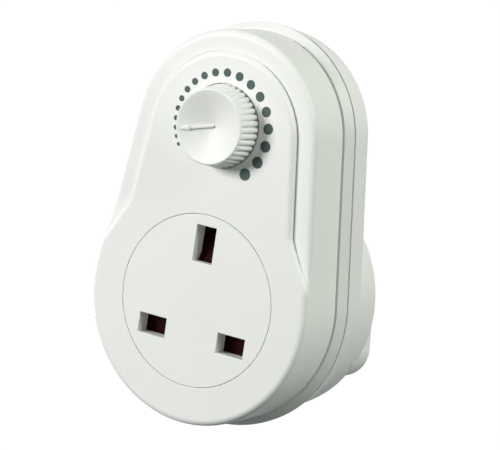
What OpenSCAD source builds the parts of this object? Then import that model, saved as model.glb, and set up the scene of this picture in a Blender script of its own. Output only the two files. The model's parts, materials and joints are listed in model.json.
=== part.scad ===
// Plug-in dimmer: a wall plug and a switched socket in one housing, with a rotary dimmer above the socket.
// The front faces -Y and +Z is up. The origin is on the plug face, midway between the two lower pins.
// Depths are measured from the front panel towards the plug face.

/* [Housing] */
// Radius of the lower drum that carries the socket
drum_r = 30; // [29:0.5:34]
// Radius of the round head that carries the knob
head_r = 25; // [24:0.5:28]
// Height of the head's centre above the drum's axis
head_rise = 40; // [39:0.5:46]
// Height of the drum's axis above the line of the two lower pins
drum_z = 8.5; // [7:0.1:9]
// Depth from the front panel to the plug face
plug_depth = 41; // [40.5:0.1:46]
// Wall thickness of both shells
wall = 2.2; // [1.8:0.1:2.6]
// Wall thickness of the plug face
face_wall = 3; // [2.4:0.1:3.6]
// Bevel along the front edge
front_edge = 2; // [1:0.1:2.4]
// Bevel along the back edges
back_edge = 3; // [1.5:0.1:3.4]
// How far the raised panel stands in front of the shoulder
panel_step = 1.6; // [0.8:0.1:2.2]
// Width of the shoulder between the raised panel and the side wall
panel_inset = 4.7; // [4:0.1:6]
// Height above the drum's axis where the panel starts to flare
flare_top = 20.6; // [16:0.1:24]
// Height above the drum's axis where the flare meets the side
flare_foot = 8.5; // [6:0.1:12]
// Depth at which the rim bead starts
bead_start = 14.5; // [12:0.1:15]
// Depth of the parting line between the shells
part_line = 17; // [16.5:0.1:18.5]
// How far the rim bead stands out from the side wall
bead_out = 1.7; // [1:0.1:2.2]
// Width of the shadow gap behind the bead
gap_w = 0.6; // [0.3:0.1:1]
// Depth of the shadow gap behind the bead
gap_in = 0.9; // [0.4:0.1:1.2]
// Depth of the back of the head
head_back = 28.5; // [28:0.1:30]
// Depth of the back of the drum
drum_back = 36.5; // [35.5:0.1:37]

/* [Plug and socket] */
// Distance between the two lower pins
pin_pitch = 22.2; // [22:0.1:22.4]
// Height of the earth pin above the two lower pins
earth_rise = 22.2; // [22:0.1:22.4]
// Width of a lower pin
pin_w = 6.35; // [6.2:0.05:6.5]
// Height of a lower pin
pin_h = 3.97; // [3.85:0.01:4.05]
// Length of a lower pin outside the plug face
pin_l = 17.7; // [17:0.1:18.2]
// Width of the earth pin
earth_w = 3.97; // [3.85:0.01:4.05]
// Height of the earth pin
earth_h = 7.92; // [7.8:0.01:8.05]
// Length of the earth pin outside the plug face
earth_l = 22.7; // [22:0.1:23.2]
// Length of the insulating sleeve on a lower pin
sleeve_l = 9; // [8:0.1:10]
// Thickness of the insulating sleeve
sleeve_t = 0.5; // [0.3:0.05:0.7]
// Room left round a pin in the socket's apertures
aperture_gap = 0.5; // [0.4:0.05:0.7]
// Radius of the round socket insert
insert_r = 20.74; // [20.2:0.02:21]
// Thickness of the socket insert
insert_t = 3.8; // [3.4:0.1:4]
// Width of the flange that holds the insert behind the front wall
insert_flange = 1.6; // [1:0.1:2]
// Distance that the shutter slides
shutter_travel = 5.5; // [5.3:0.1:5.8]
// Length of the fuse
fuse_l = 25.4; // [25:0.1:26]
// Diameter of the fuse
fuse_d = 6.35; // [6.2:0.05:6.5]

/* [Knob and scale] */
// Height of the knob's axis above the drum's axis
knob_rise = 42.4; // [41.5:0.1:44]
// Radius of the knob at its base
knob_r = 10.2; // [9:0.1:10.6]
// Radius of the knob at its front rim
knob_rim_r = 9.2; // [8:0.1:9.6]
// Height of the knob's rim in front of the panel
knob_h = 6.2; // [5.6:0.1:8]
// Gap between the knob and the panel
knob_lift = 0.8; // [0.4:0.1:1.2]
// Depth of the dish in the knob's face
dish = 2.9; // [1.6:0.1:3.2]
// Number of flutes round the knob
flutes = 38; // [24:1:44]
// Angle of the pointer, from the right-hand side anticlockwise
pointer_angle = 194; // [190:1:210]
// Radius of the shaft
shaft_r = 3; // [2.8:0.05:3.2]
// Radius of the ring of dots
dot_ring_r = 12.8; // [12.4:0.1:13.2]
// Number of dots in the scale
dots = 19; // [9:1:21]
// Diameter of the smallest dot
dot_min = 0.9; // [0.6:0.05:1.2]
// Diameter of the largest dot
dot_max = 2.95; // [2:0.05:3.2]
// Angle of the smallest dot
dot_first = 210; // [200:1:215]
// Angle of the largest dot, past the top of the ring
dot_last = -50; // [-60:1:-40]
// Angle between the two smallest dots
dot_step = 8.3; // [7:0.1:12]

/* [Circuit] */
// Thickness of the circuit board
board_t = 1.6; // [1.2:0.1:2]
// Depth of the front of the circuit board
board_d = 12; // [11.8:0.1:12.6]
// Radius of the dimmer control's body
pot_r = 8; // [7.5:0.1:8.5]
// Depth of the dimmer control's front plate
pot_front = 6; // [5.5:0.1:6.2]
// Radius of a wire with its insulation
wire_r = 1.1; // [0.8:0.05:1.2]

/* [Fits and fasteners] */
// Gap between fixed pieces that sit in one another
fit_gap = 0.15; // [0.1:0.01:0.25]
// Gap between a moving piece and what it passes
run_gap = 0.3; // [0.25:0.01:0.4]
// Gap round a turning shaft
shaft_gap = 0.05; // [0.02:0.01:0.09]
// Radius of a screw's shank
screw_r = 1.4; // [1.2:0.05:1.5]
// Radius of a screw's head
screw_head_r = 2.5; // [2.2:0.05:2.7]
// Height of a screw's head
screw_head_h = 1.8; // [1.2:0.1:2.2]

/* [Hidden] */
$fn = 64;
loft_fn = 48;
// How far the drum's own rounds stand in from the form over the drum and the head
seat_in = 0.15;
// Depth in the form where hidden ends stop
hide = 1.5;
lean = asin((drum_r - head_r) / head_rise);
head_z = drum_z + head_rise;
knob_z = drum_z + knob_rise;
pin_x = pin_pitch / 2;
tip = 1.2;

// Rear shell: how its side tapers behind the bead
taper_mid = 0.1;
taper_end = -0.6;
drum_edge = 2;
// Moulded groove in front of the bead, and the steep and flat parts of the bead
groove_in = 0.3;
bead_foot = 0.5;
bead_land = 0.6;
rear_in = wall + 0.3;
drum_in = wall - taper_end;
front_drum_in = wall + 0.5;

// Plug base: corner rounds, at half widths and heights from the drum's axis
base_low = [19.3, -10.6, 8];
base_high = [17.8, 4, 8];
base_top = [0, 10, 14];
base_foot_r = 23.5;

// Socket insert, shutter and contact carrier
aperture_w = pin_w + 2 * aperture_gap + 0.15;
aperture_h = pin_h + 2 * aperture_gap - 0.15;
earth_aperture_w = earth_w + 2 * aperture_gap + 0.4;
earth_aperture_h = earth_h + 2 * aperture_gap - 0.1;
skin = 2.1;
flange_r = insert_r + insert_flange;
shutter_d = insert_t + run_gap + 0.1;
shutter_t = 1.6;
shutter_back = 7.8;
carrier_d = shutter_back + 0.4;
carrier_t = 2;
carrier_r = 21;
foot_r = 1.5;
foot_ring_r = 19.3;
foot_side = [19.4, -4];
foot_high = [14.5, 14.5];
blade_w = 9.8;
blade_top = aperture_h / 2 + 0.5;
blade_foot = -aperture_h / 2 - 0.7;
web_w = 9;
window_w = 4.4;
window_foot = 4;
window_top = 16;
ramp_w = earth_aperture_w - 0.6;
ramp_foot = earth_rise - earth_aperture_h / 2 + 0.1;
ramp_top = earth_rise + earth_aperture_h / 2 + 0.4;
ramp_nose = skin + run_gap + 0.1;
ramp_tail = 6.9;
post_foot = window_foot + run_gap;
post_top = 6;
spring_d = (shutter_d + shutter_back) / 2;
spring_r = 1.5;
spring_wire = 0.25;
spring_turns = 6;
spring_seat = 0.05;
spring_rings = 8;
spring_sides = 6;
rail_t = 1.5;

// Contacts and the boxes round them
leaf_t = 0.8;
leaf_gap = 0.1;
box_wall = 1.5;
contact_front = carrier_d + 1;
contact_back = 19;
earth_contact_back = 24;
box_floor = 1.5;
strap_w = 5;
strap_t = 0.8;
root_d = plug_depth - face_wall - 1.5;

// Fuse, its clips, holder and pull-out carrier
fuse_z = 10.5;
fuse_in = 5.6;
fuse_axis_d = plug_depth - fuse_in;
cap_l = 6;
fuse_body_r = fuse_d / 2 - 0.2;
clip_w = 4.5;
clip_t = 0.6;
clip_gap = 0.05;
clip_x = fuse_l / 2 - cap_l / 2;
clip_base_d = fuse_axis_d - fuse_d / 2 - 0.3 - clip_t;
cover_side = 2.5;
cover_edge = 1.8;
cover_w = fuse_l + 2 * cover_side;
cover_h = fuse_d + 2 * cover_edge;
cover_t = 2;
holder_t = 1.7;
holder_wall = 1.5;
holder_h = cover_h + 2 * run_gap + 0.2;
wire_gap = 0.6;
feed_z = fuse_z + holder_h / 2 + wire_r + 0.2;
tab_l = feed_z + 0.8 - (fuse_z + fuse_d / 2 + clip_gap + clip_t);
cradle_w = 9;
blade_slot_w = 6;
blade_slot_h = 2.4;
blade_slot_t = 0.9;

// Room round the circuit board
board_gap = 0.8;

// Screws: positions as [x, z]
boss_r = 2.5;
well_r = screw_head_r + 0.4;
post_wall = 0.7;
post_r = well_r + post_wall;
pilot_gap = 0.05;
ring_r = (flange_r + drum_r - wall) / 2;
lower_angle = 30;
lower_screw = [ring_r * cos(lower_angle), drum_z - ring_r * sin(lower_angle)];
upper_screw = [head_r - wall - 5.5, head_z + 8.5];
lower_seat = 26;
upper_seat = 22;
screw_l = 13;
ear_angle = 45;
ear_ring_r = flange_r + boss_r + run_gap;
ear = [ear_ring_r * cos(ear_angle), drum_z + ear_ring_r * sin(ear_angle)];
ear_r = 2.6;
short_screw_l = 6;
board_side_drop = 9;
board_side_in = 4.3;
board_side_x = half_width(-wall - board_gap, head_rise - board_side_drop) - board_side_in;
board_side = [board_side_x, head_z - board_side_drop];
board_top = [0, head_z + head_r - wall - 4.3];
board_boss_r = 2.5;

// Circuit board and what stands on it
board_foot = earth_rise + earth_h / 2 + 4.1;
board_back = board_d + board_t;
pad_z = board_foot + 1.5;
bush_r = 4;
pot_wall = 0.8;
hole_gap = 0.4;
shaft_end = 9.5;
wiper_r = 6;
wiper_t = 1;
triac_w = 10;
triac_x = -9;
triac_drop = 13;
triac_z = head_z - triac_drop;
triac_body_h = 9;
triac_body_t = 3.2;
tab_h = 6.5;
leg_pitch = 2.54;
leg_w = 0.8;
leg_t = 0.6;
leg_drop = 2.4;
tab_t = 1.3;
tab_d = board_back + 0.5 + triac_body_t;
tab_hole_z = triac_z + triac_body_h + tab_h / 2;
sink_w = 12;
sink_t = 1.5;
sink_h = 17;
sink_lift = 0.5;
sink_z = triac_z + sink_lift;
sink_d = tab_d + tab_t;
nut_r = 2.6;
nut_h = 1.6;
choke_x = 8;
choke_drop = 6.5;
choke_z = head_z - choke_drop;
choke_r = 8;
choke_in = 2.6;
choke_h = 8;
winding_t = 0.9;
film_size = [13, 6, 11];
film_gap = 1.7;
film_rise = 8;
film_pos = [upper_screw[0] - post_r - film_gap - film_size[0] / 2, head_z + film_rise];
timing_size = [7, 3, 7];
timing_pos = [-7.5, head_z + 8.5];
resistor_z = head_z + 14.5;
resistor_x = 6.75;
resistor_r = 1.2;
resistor_l = 6.2;
resistor_reach = 4.3;
diac_pos = [-10, head_z + 12.3];
diac_r = 0.95;
diac_l = 4;
diac_reach = 3.2;
lead_r = 0.3;
terminal_z = knob_z + pot_r + 1.8;
terminal_pitch = 5;

// A flat outline in X and Z, made a plate between two depths
module plate(d0, d1) {
    translate([0, d1 - plug_depth, 0])
        rotate([90, 0, 0])
            linear_extrude(d1 - d0)
                children();
}

// A round bar along the depth at [x, z]
module rod(spot, r, d0, d1) {
    translate([spot[0], d1 - plug_depth, spot[1]])
        rotate([90, 0, 0])
            cylinder(r = r, h = d1 - d0);
}

// A block with its middle at [x, z], between two depths
module block(spot, w, h, d0, d1) {
    translate([spot[0] - w / 2, d0 - plug_depth, spot[1] - h / 2])
        cube([w, d1 - d0, h]);
}

// A pair of like pieces, one on each side of the middle plane
module both_sides() {
    for (side = [0, 1])
        mirror([side, 0, 0])
            children();
}

// Half a section: [offset from the radius, depth] points, closed along the axis
function section(r, profile) = concat(
    [[0, profile[0][1]]],
    [for (p = profile) [r + p[0], p[1]]],
    [[0, profile[len(profile) - 1][1]]]
);

// A section spun about an axis that runs along the depth
module turned(z, r, profile) {
    translate([0, -plug_depth, z])
        rotate([-90, 0, 0])
            rotate_extrude()
                polygon(section(r, profile));
}

// The convex form over the drum and the head, with the straight flanks between them
module loft(profile) {
    hull() {
        turned(drum_z, drum_r, profile, $fn = loft_fn);
        turned(head_z, head_r, profile, $fn = loft_fn);
    }
}

// Flat outline of the housing, grown or shrunk by an offset, with the drum's axis at the origin
module outline(grow) {
    hull() {
        circle(drum_r + grow, $fn = loft_fn);
        translate([0, head_rise])
            circle(head_r + grow, $fn = loft_fn);
    }
}

// Half width of the housing's outline at a height above the drum's axis
function half_width(grow, z) = (drum_r + grow - z * sin(lean)) / cos(lean);

// Flat outline of the raised panel, with its flare into the drum
module panel_outline() {
    flare_r = drum_r - front_edge - 0.5;
    top_x = half_width(-panel_inset, flare_top);
    foot_x = sqrt(flare_r * flare_r - flare_foot * flare_foot);
    outline(-panel_inset);
    polygon([
        [top_x, flare_top], [foot_x, flare_foot], [foot_x, 0],
        [-foot_x, 0], [-foot_x, flare_foot], [-top_x, flare_top]
    ]);
}

// Side of the front shell from its shoulder to the moulded groove, with its end hidden in the bead
front_side = [
    [-front_edge, panel_step],
    [0, panel_step + front_edge],
    [0, bead_start - groove_in],
    [-hide, bead_start + hide - groove_in]
];

// Rim bead, from an end hidden in the front shell to the parting line
bead_side = [
    [-hide, bead_start - bead_foot * (hide - groove_in) / (bead_out / 2 + groove_in)],
    [bead_out / 2, bead_start + bead_foot],
    [bead_out, part_line - bead_land],
    [bead_out, part_line]
];

// Round of the drum in front of the shoulder
drum_front = [
    [-front_edge, 0],
    [0, front_edge],
    [0, panel_step + front_edge + hide]
];

// Side of the rear shell, behind the shadow gap
rear_side = [
    [bead_out, part_line + gap_w],
    [taper_mid, head_back - back_edge],
    [taper_mid - back_edge, head_back]
];

// Side of the drum behind the head
drum_side = [
    [-hide, part_line + gap_w + hide],
    [taper_mid, head_back - back_edge],
    [taper_end, drum_back - drum_edge],
    [taper_end - drum_edge, drum_back]
];

// Every housing screw, as [x, z, depth of the head's seat]
housing_spots = [
    [lower_screw[0], lower_screw[1], lower_seat],
    [-lower_screw[0], lower_screw[1], lower_seat],
    [upper_screw[0], upper_screw[1], upper_seat],
    [-upper_screw[0], upper_screw[1], upper_seat]
];
board_spots = [board_top, board_side, [-board_side[0], board_side[1]]];
carrier_spots = [ear, [-ear[0], ear[1]]];

module front_shell() {
    boss_start = (panel_step + wall) / 2;
    color("whitesmoke")
        difference() {
            union() {
                difference() {
                    union() {
                        loft(front_side);
                        loft(bead_side);
                        turned(drum_z, drum_r - seat_in, drum_front);
                        translate([0, 0, drum_z])
                            plate(0, panel_step + wall / 2)
                                panel_outline();
                    }
                    translate([0, 0, drum_z]) {
                        plate(panel_step + wall, part_line + 1)
                            outline(-wall);
                        plate(wall, panel_step + wall + 1)
                            outline(-panel_inset - wall);
                    }
                    rod([0, drum_z], drum_r - front_drum_in, wall, part_line + 1);
                }
                for (spot = housing_spots)
                    rod(spot, boss_r, spot[1] > drum_z ? boss_start : wall / 2, part_line);
                for (spot = board_spots)
                    rod(spot, board_boss_r, boss_start, board_d);
                for (spot = carrier_spots)
                    rod(spot, board_boss_r, wall / 2, carrier_d);
            }
            rod([0, drum_z], insert_r + fit_gap, -1, wall + 1);
            rod([0, knob_z], shaft_r + hole_gap, -1, wall + 1);
            for (spot = housing_spots)
                rod(spot, screw_r + pilot_gap, spot[2] - screw_l - 1, part_line + 1);
            for (spot = board_spots)
                rod(spot, screw_r + pilot_gap, board_back - short_screw_l - 1, board_d + 1);
            for (spot = carrier_spots)
                rod(spot, screw_r + pilot_gap, carrier_d + carrier_t - short_screw_l, carrier_d + 1);
        }
}

// Flat outline of the plug base, with the drum's axis at the origin
module base_outline(grow) {
    hull() {
        for (corner = [base_low, base_high, base_top], side = [-1, 1])
            translate([side * corner[0], corner[1]])
                circle(corner[2] + grow, $fn = 48);
        circle(base_foot_r + grow, $fn = 48);
    }
}

module rear_shell() {
    post_d = part_line;
    color("whitesmoke")
        difference() {
            union() {
                difference() {
                    union() {
                        loft(rear_side);
                        turned(drum_z, drum_r - seat_in, drum_side);
                        translate([0, 0, drum_z]) {
                            plate(part_line, part_line + gap_w + hide)
                                outline(bead_out - gap_in);
                            plate(drum_back - wall, plug_depth)
                                base_outline(0);
                        }
                    }
                    translate([0, 0, drum_z]) {
                        plate(part_line - 1, head_back - wall)
                            outline(-rear_in);
                        plate(drum_back - wall - 1, plug_depth - face_wall)
                            base_outline(-wall);
                    }
                    rod([0, drum_z], drum_r - drum_in, part_line - 1, drum_back - wall);
                }
                for (spot = housing_spots)
                    rod(spot, post_r, post_d, (spot[1] > drum_z ? head_back : plug_depth) - wall / 2);
            }
            for (spot = housing_spots) {
                rod(spot, screw_r + hole_gap, part_line - 1, spot[2] + 1);
                rod(spot, well_r, spot[2], plug_depth + 1);
            }
            both_sides()
                block([pin_x, 0], pin_w + fit_gap, pin_h + fit_gap, root_d, plug_depth + 1);
            block([0, earth_rise], earth_w + fit_gap, earth_h + fit_gap, root_d, plug_depth + 1);
            block([0, fuse_z], cover_w + 2 * run_gap, cover_h + 2 * run_gap, root_d, plug_depth + 1);
        }
}

module socket_insert() {
    color("whitesmoke")
        difference() {
            union() {
                rod([0, drum_z], insert_r, 0, insert_t);
                rod([0, drum_z], flange_r, wall + fit_gap / 3, insert_t);
            }
            both_sides()
                block([pin_x, 0], aperture_w, aperture_h, -1, insert_t + 1);
            block([0, earth_rise], earth_aperture_w, earth_aperture_h, -1, insert_t + 1);
            // Room in the flange for the front shell's lower bosses
            both_sides()
                rod(lower_screw, boss_r + fit_gap, wall, insert_t + 1);
            // Relief behind the earth aperture, where the shutter's ramp slides
            translate([-earth_aperture_w / 2, skin - plug_depth, ramp_foot - shutter_travel - 1])
                cube([earth_aperture_w, insert_t, earth_aperture_h + shutter_travel + 1]);
        }
}

module shutter() {
    bar_w = 2 * pin_x + blade_w;
    color("#4a1020")
        difference() {
            union() {
                block([0, (blade_top + blade_foot) / 2], bar_w, blade_top - blade_foot,
                      shutter_d, shutter_d + shutter_t);
                block([0, (blade_foot + ramp_top) / 2], web_w, ramp_top - blade_foot,
                      shutter_d, shutter_d + shutter_t);
                block([0, (window_top + ramp_foot) / 2], web_w, ramp_foot - window_top,
                      shutter_d, shutter_back);
                translate([-ramp_w / 2, -plug_depth, 0])
                    rotate([90, 0, 90])
                        linear_extrude(ramp_w)
                            polygon([
                                [ramp_nose, ramp_foot],
                                [ramp_tail, ramp_top],
                                [shutter_back, ramp_top],
                                [shutter_back, ramp_foot]
                            ]);
            }
            // Window that holds the return spring and the carrier's post
            block([0, (window_foot + window_top) / 2], window_w, window_top - window_foot,
                  shutter_d - 1, shutter_back + 1);
            // Room in front of the ramp for the earth pin
            translate([-ramp_w / 2, -plug_depth, 0])
                rotate([90, 0, 90])
                    linear_extrude(ramp_w)
                        polygon([
                            [ramp_nose, ramp_foot],
                            [ramp_nose, ramp_top + 1],
                            [ramp_tail, ramp_top + 1],
                            [ramp_tail, ramp_top]
                        ]);
        }
}

// Return spring: one round wire wound in a helix, with its ends on the post and on the window's top
spring_foot = post_top + spring_wire + spring_seat;
spring_head = window_top - spring_wire - spring_seat;
spring_steps = spring_turns * spring_rings;

function coil_point(i, j) =
    let (turn = 360 * i / spring_rings)
    let (side = 360 * j / spring_sides)
    let (reach = spring_r + spring_wire * cos(side))
    [
        reach * cos(turn),
        spring_d - plug_depth + reach * sin(turn),
        spring_foot + (spring_head - spring_foot) * i / spring_steps + spring_wire * sin(side)
    ];

module shutter_spring() {
    points = [for (i = [0 : spring_steps], j = [0 : spring_sides - 1]) coil_point(i, j)];
    walls = [
        for (i = [0 : spring_steps - 1], j = [0 : spring_sides - 1], half = [0, 1])
            let (a = i * spring_sides + j)
            let (b = i * spring_sides + (j + 1) % spring_sides)
            half == 0 ? [a, b, b + spring_sides] : [a, b + spring_sides, a + spring_sides]
    ];
    last = spring_steps * spring_sides;
    ends = [
        for (j = [1 : spring_sides - 2], end = [0, 1])
            end == 0 ? [0, j + 1, j] : [last, last + j, last + j + 1]
    ];
    color("silver")
        polyhedron(points, concat(walls, ends));
}

// A walled box that holds one contact
module contact_box(spot, w, h, back) {
    block(spot, w + 2 * box_wall, h + 2 * box_wall, carrier_d, back + box_floor);
}

// The room inside a contact box, with a slot in its floor for the tail
module contact_room(spot, w, h, back, tail_w, tail_h) {
    block(spot, w, h, carrier_d - 1, back);
    block(spot, tail_w, tail_h, back - 1, back + box_floor + 1);
}

lower_room = [pin_w + 2, pin_h + 2 * leaf_t + 2 * leaf_gap + 0.8];
earth_room = [earth_w + 2 * leaf_t + 2 * leaf_gap + 0.8, earth_h + 2];

module contact_carrier() {
    rail_x = web_w / 2 + run_gap + rail_t / 2;
    color("ivory")
        difference() {
            union() {
                rod([0, drum_z], carrier_r, carrier_d, carrier_d + carrier_t);
                for (spot = carrier_spots)
                    rod(spot, ear_r, carrier_d, carrier_d + carrier_t);
                both_sides() {
                    contact_box([pin_x, 0], lower_room[0], lower_room[1], contact_back);
                    translate([0, 0, drum_z])
                        rotate([0, -ear_angle, 0])
                            block([(carrier_r - 1 + ear_ring_r) / 2, 0],
                                  ear_ring_r - carrier_r + 1, 2 * ear_r, carrier_d, carrier_d + carrier_t);
                    // Rail that guides the shutter
                    block([rail_x, (window_foot + window_top) / 2 + 1],
                          rail_t, window_top - window_foot - 4, shutter_d, carrier_d + 0.5);
                    // Feet that press the insert into its seat
                    rod([foot_high[0], drum_z + foot_high[1]], foot_r, insert_t, carrier_d + 0.5);
                    rod([foot_side[0], drum_z + foot_side[1]], foot_r, insert_t, carrier_d + 0.5);
                }
                contact_box([0, earth_rise], earth_room[0], earth_room[1], earth_contact_back);
                rod([0, drum_z - foot_ring_r], foot_r, insert_t, carrier_d + 0.5);
                // Post that the return spring stands on
                block([0, (post_foot + post_top) / 2], window_w - 2 * run_gap, post_top - post_foot,
                      shutter_d, carrier_d + 0.5);
            }
            both_sides()
                contact_room([pin_x, 0], lower_room[0], lower_room[1], contact_back,
                             strap_w + fit_gap, strap_t + fit_gap);
            contact_room([0, earth_rise], earth_room[0], earth_room[1], earth_contact_back,
                         earth_w + fit_gap, strap_t + fit_gap);
            for (spot = carrier_spots)
                rod(spot, screw_r + hole_gap, carrier_d - 1, carrier_d + carrier_t + 1);
        }
}

// Contact for a lower pin: two leaves on a back plate
module lower_contact(x) {
    span = pin_h + 2 * leaf_gap;
    for (side = [-1, 1])
        block([x, side * (span + leaf_t) / 2], pin_w, leaf_t, contact_front, contact_back);
    block([x, 0], pin_w, span + 2 * leaf_t, contact_back - leaf_t, contact_back);
}

module line_contact() {
    color("goldenrod") {
        lower_contact(pin_x);
        block([pin_x, 0], strap_w, strap_t, contact_back - leaf_t, contact_back + box_floor + 1);
    }
}

module neutral_contact() {
    color("goldenrod")
        lower_contact(-pin_x);
}

module earth_contact() {
    span = earth_w + 2 * leaf_gap;
    color("goldenrod") {
        for (side = [-1, 1])
            block([side * (span + leaf_t) / 2, earth_rise], leaf_t, earth_h,
                  contact_front, earth_contact_back);
        block([0, earth_rise], span + 2 * leaf_t, earth_h, earth_contact_back - leaf_t, earth_contact_back);
    }
}

// A plug pin with a bevelled tip and a head inside the plug face
module pin_bar(spot, w, h, length) {
    end = plug_depth + length;
    block(spot, w, h, root_d, end - tip);
    hull() {
        block(spot, w, h, end - tip - 0.1, end - tip);
        block(spot, w - 1.4 * tip, h - 1.4 * tip, end - 0.1, end);
    }
    block(spot, w + 2, h + 2, root_d - 0.5, plug_depth - face_wall);
}

// A lower pin, necked where its sleeve sits
module lower_pin(x) {
    difference() {
        pin_bar([x, 0], pin_w, pin_h, pin_l);
        difference() {
            block([x, 0], pin_w + 1, pin_h + 1, plug_depth, plug_depth + sleeve_l);
            block([x, 0], pin_w - 2 * sleeve_t, pin_h - 2 * sleeve_t,
                  plug_depth - 1, plug_depth + sleeve_l + 1);
        }
    }
}

module line_pin() {
    color("goldenrod")
        lower_pin(pin_x);
}

module neutral_pin() {
    color("goldenrod")
        lower_pin(-pin_x);
}

module earth_pin() {
    color("goldenrod")
        pin_bar([0, earth_rise], earth_w, earth_h, earth_l);
}

module pin_sleeves() {
    color("dimgray")
        both_sides()
            difference() {
                block([pin_x, 0], pin_w, pin_h, plug_depth, plug_depth + sleeve_l);
                block([pin_x, 0], pin_w - 2 * sleeve_t, pin_h - 2 * sleeve_t,
                      plug_depth - 1, plug_depth + sleeve_l + 1);
            }
}

// Foot of the fuse clips' bases, where the line strap meets one of them
clip_foot = fuse_z - fuse_d / 2 - clip_gap - clip_t;

module line_strap() {
    reach = clip_foot + pin_h / 2;
    color("goldenrod") {
        block([clip_x, clip_foot - reach / 2], clip_w, reach, clip_base_d, clip_base_d + clip_t);
        block([pin_x, 0], strap_w, strap_t, clip_base_d, root_d - 0.5);
    }
}

module neutral_strap() {
    color("goldenrod")
        block([-pin_x, 0], strap_w, strap_t, contact_back, root_d - 0.5);
}

module earth_strap() {
    color("goldenrod")
        block([0, earth_rise], earth_w, strap_t, earth_contact_back, root_d - 0.5);
}

// Holder that stands on the inside of the plug face and carries the fuse clips
module fuse_holder() {
    inner = cover_w + 2 * run_gap + 0.2;
    color("ivory") {
        block([0, fuse_z], inner + 2 * holder_wall, holder_h, clip_base_d - holder_t, clip_base_d);
        both_sides()
            block([(inner + holder_wall) / 2, fuse_z], holder_wall, holder_h,
                  clip_base_d - holder_t, plug_depth - face_wall);
    }
}

module fuse_clips() {
    half = fuse_d / 2 + clip_gap;
    color("goldenrod")
        both_sides()
            union() {
                block([clip_x, fuse_z], clip_w, 2 * (half + clip_t), clip_base_d, clip_base_d + clip_t);
                for (side = [-1, 1])
                    block([clip_x, fuse_z + side * (half + clip_t / 2)], clip_w, clip_t,
                          clip_base_d, fuse_axis_d + 1.2);
            }
    // Tag for the live feed wire, on the clip of the fused side
    color("goldenrod")
        block([-clip_x, fuse_z + half + clip_t + tab_l / 2], clip_w - 1, tab_l,
              clip_base_d, clip_base_d + clip_t);
}

module fuse_carrier() {
    color("whitesmoke")
        difference() {
            union() {
                block([0, fuse_z], cover_w, cover_h, plug_depth - cover_t, plug_depth);
                block([0, fuse_z], cradle_w, cover_h - 1, fuse_axis_d - 1, plug_depth - cover_t + 0.5);
            }
            translate([-cover_w / 2 - 1, fuse_axis_d - plug_depth, fuse_z])
                rotate([0, 90, 0])
                    cylinder(r = fuse_body_r + shaft_gap, h = cover_w + 2);
            // Room in the cover for the fuse's ends, and a slot for a screwdriver's blade
            both_sides()
                block([clip_x, fuse_z], cap_l + 1, fuse_d,
                      plug_depth - cover_t - 1, plug_depth - cover_t + 0.6);
            block([0, fuse_z + cover_h / 2], blade_slot_w, blade_slot_h,
                  plug_depth - blade_slot_t, plug_depth + 1);
        }
}

module fuse_body() {
    color("beige")
        translate([-fuse_l / 2 + 1, fuse_axis_d - plug_depth, fuse_z])
            rotate([0, 90, 0])
                cylinder(r = fuse_body_r, h = fuse_l - 2);
}

module fuse_end_caps() {
    color("silver")
        both_sides()
            translate([fuse_l / 2 - cap_l, fuse_axis_d - plug_depth, fuse_z])
                rotate([0, 90, 0])
                    difference() {
                        cylinder(r = fuse_d / 2, h = cap_l);
                        translate([0, 0, -1])
                            cylinder(r = fuse_body_r, h = cap_l);
                    }
}

module circuit_board() {
    color("darkgreen")
        difference() {
            translate([0, 0, drum_z])
                plate(board_d, board_back)
                    difference() {
                        union() {
                            translate([0, head_rise])
                                circle(head_r - wall - board_gap);
                            polygon([
                                [half_width(-wall - board_gap, board_foot - drum_z), board_foot - drum_z],
                                [head_r - wall - 2 * board_gap, head_rise],
                                [-head_r + wall + 2 * board_gap, head_rise],
                                [-half_width(-wall - board_gap, board_foot - drum_z), board_foot - drum_z]
                            ]);
                        }
                        translate([-drum_r, 0])
                            square([2 * drum_r, board_foot - drum_z]);
                    }
            both_sides()
                rod(upper_screw, post_r + 0.4, board_d - 1, board_back + 1);
            for (spot = board_spots)
                rod(spot, screw_r + hole_gap, board_d - 1, board_back + 1);
            for (i = [-1 : 1])
                rod([i * terminal_pitch, terminal_z], 0.7, board_d - 1, board_back + 1);
        }
}

module pot_body() {
    color("darkslategray")
        difference() {
            union() {
                rod([0, knob_z], pot_r, pot_front, board_d);
                block([0, (knob_z + terminal_z) / 2], 2.6 * terminal_pitch, terminal_z - knob_z + 2,
                      board_d - 1.6, board_d);
            }
            rod([0, knob_z], pot_r - pot_wall, pot_front + pot_wall, board_d - pot_wall);
            rod([0, knob_z], bush_r, pot_front - 1, pot_front + pot_wall + 0.5);
            for (i = [-1 : 1])
                rod([i * terminal_pitch, terminal_z], 0.5, board_d - 2, board_d + 1);
        }
}

module pot_bush() {
    color("silver")
        difference() {
            rod([0, knob_z], bush_r, wall + 0.1, pot_front + pot_wall);
            rod([0, knob_z], shaft_r + shaft_gap, wall - 1, pot_front + pot_wall + 1);
        }
}

module pot_track() {
    color("saddlebrown")
        difference() {
            rod([0, knob_z], pot_r - pot_wall - 0.1, board_d - pot_wall - 0.8, board_d - pot_wall);
            rod([0, knob_z], shaft_r + 0.8, board_d - 3, board_d);
            // The gap between the ends of the track
            block([0, knob_z - pot_r / 2], 3, pot_r, board_d - 3, board_d);
        }
}

module pot_terminals() {
    color("silver")
        for (i = [-1 : 1])
            rod([i * terminal_pitch, terminal_z], 0.5, board_d - 1.6, board_back + 1);
}

// Depth of the knob's rear face, its rim, the middle of its dish and the shaft's front end
knob_base_d = -knob_lift;
knob_rim_d = -knob_h;
dish_d = knob_rim_d + dish;
knob_face = 0.9;
shaft_tip_gap = 0.1;
shaft_front_d = dish_d + knob_face + shaft_tip_gap;

module pot_shaft() {
    color("silver")
        rod([0, knob_z], shaft_r, shaft_front_d, shaft_end);
}

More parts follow.
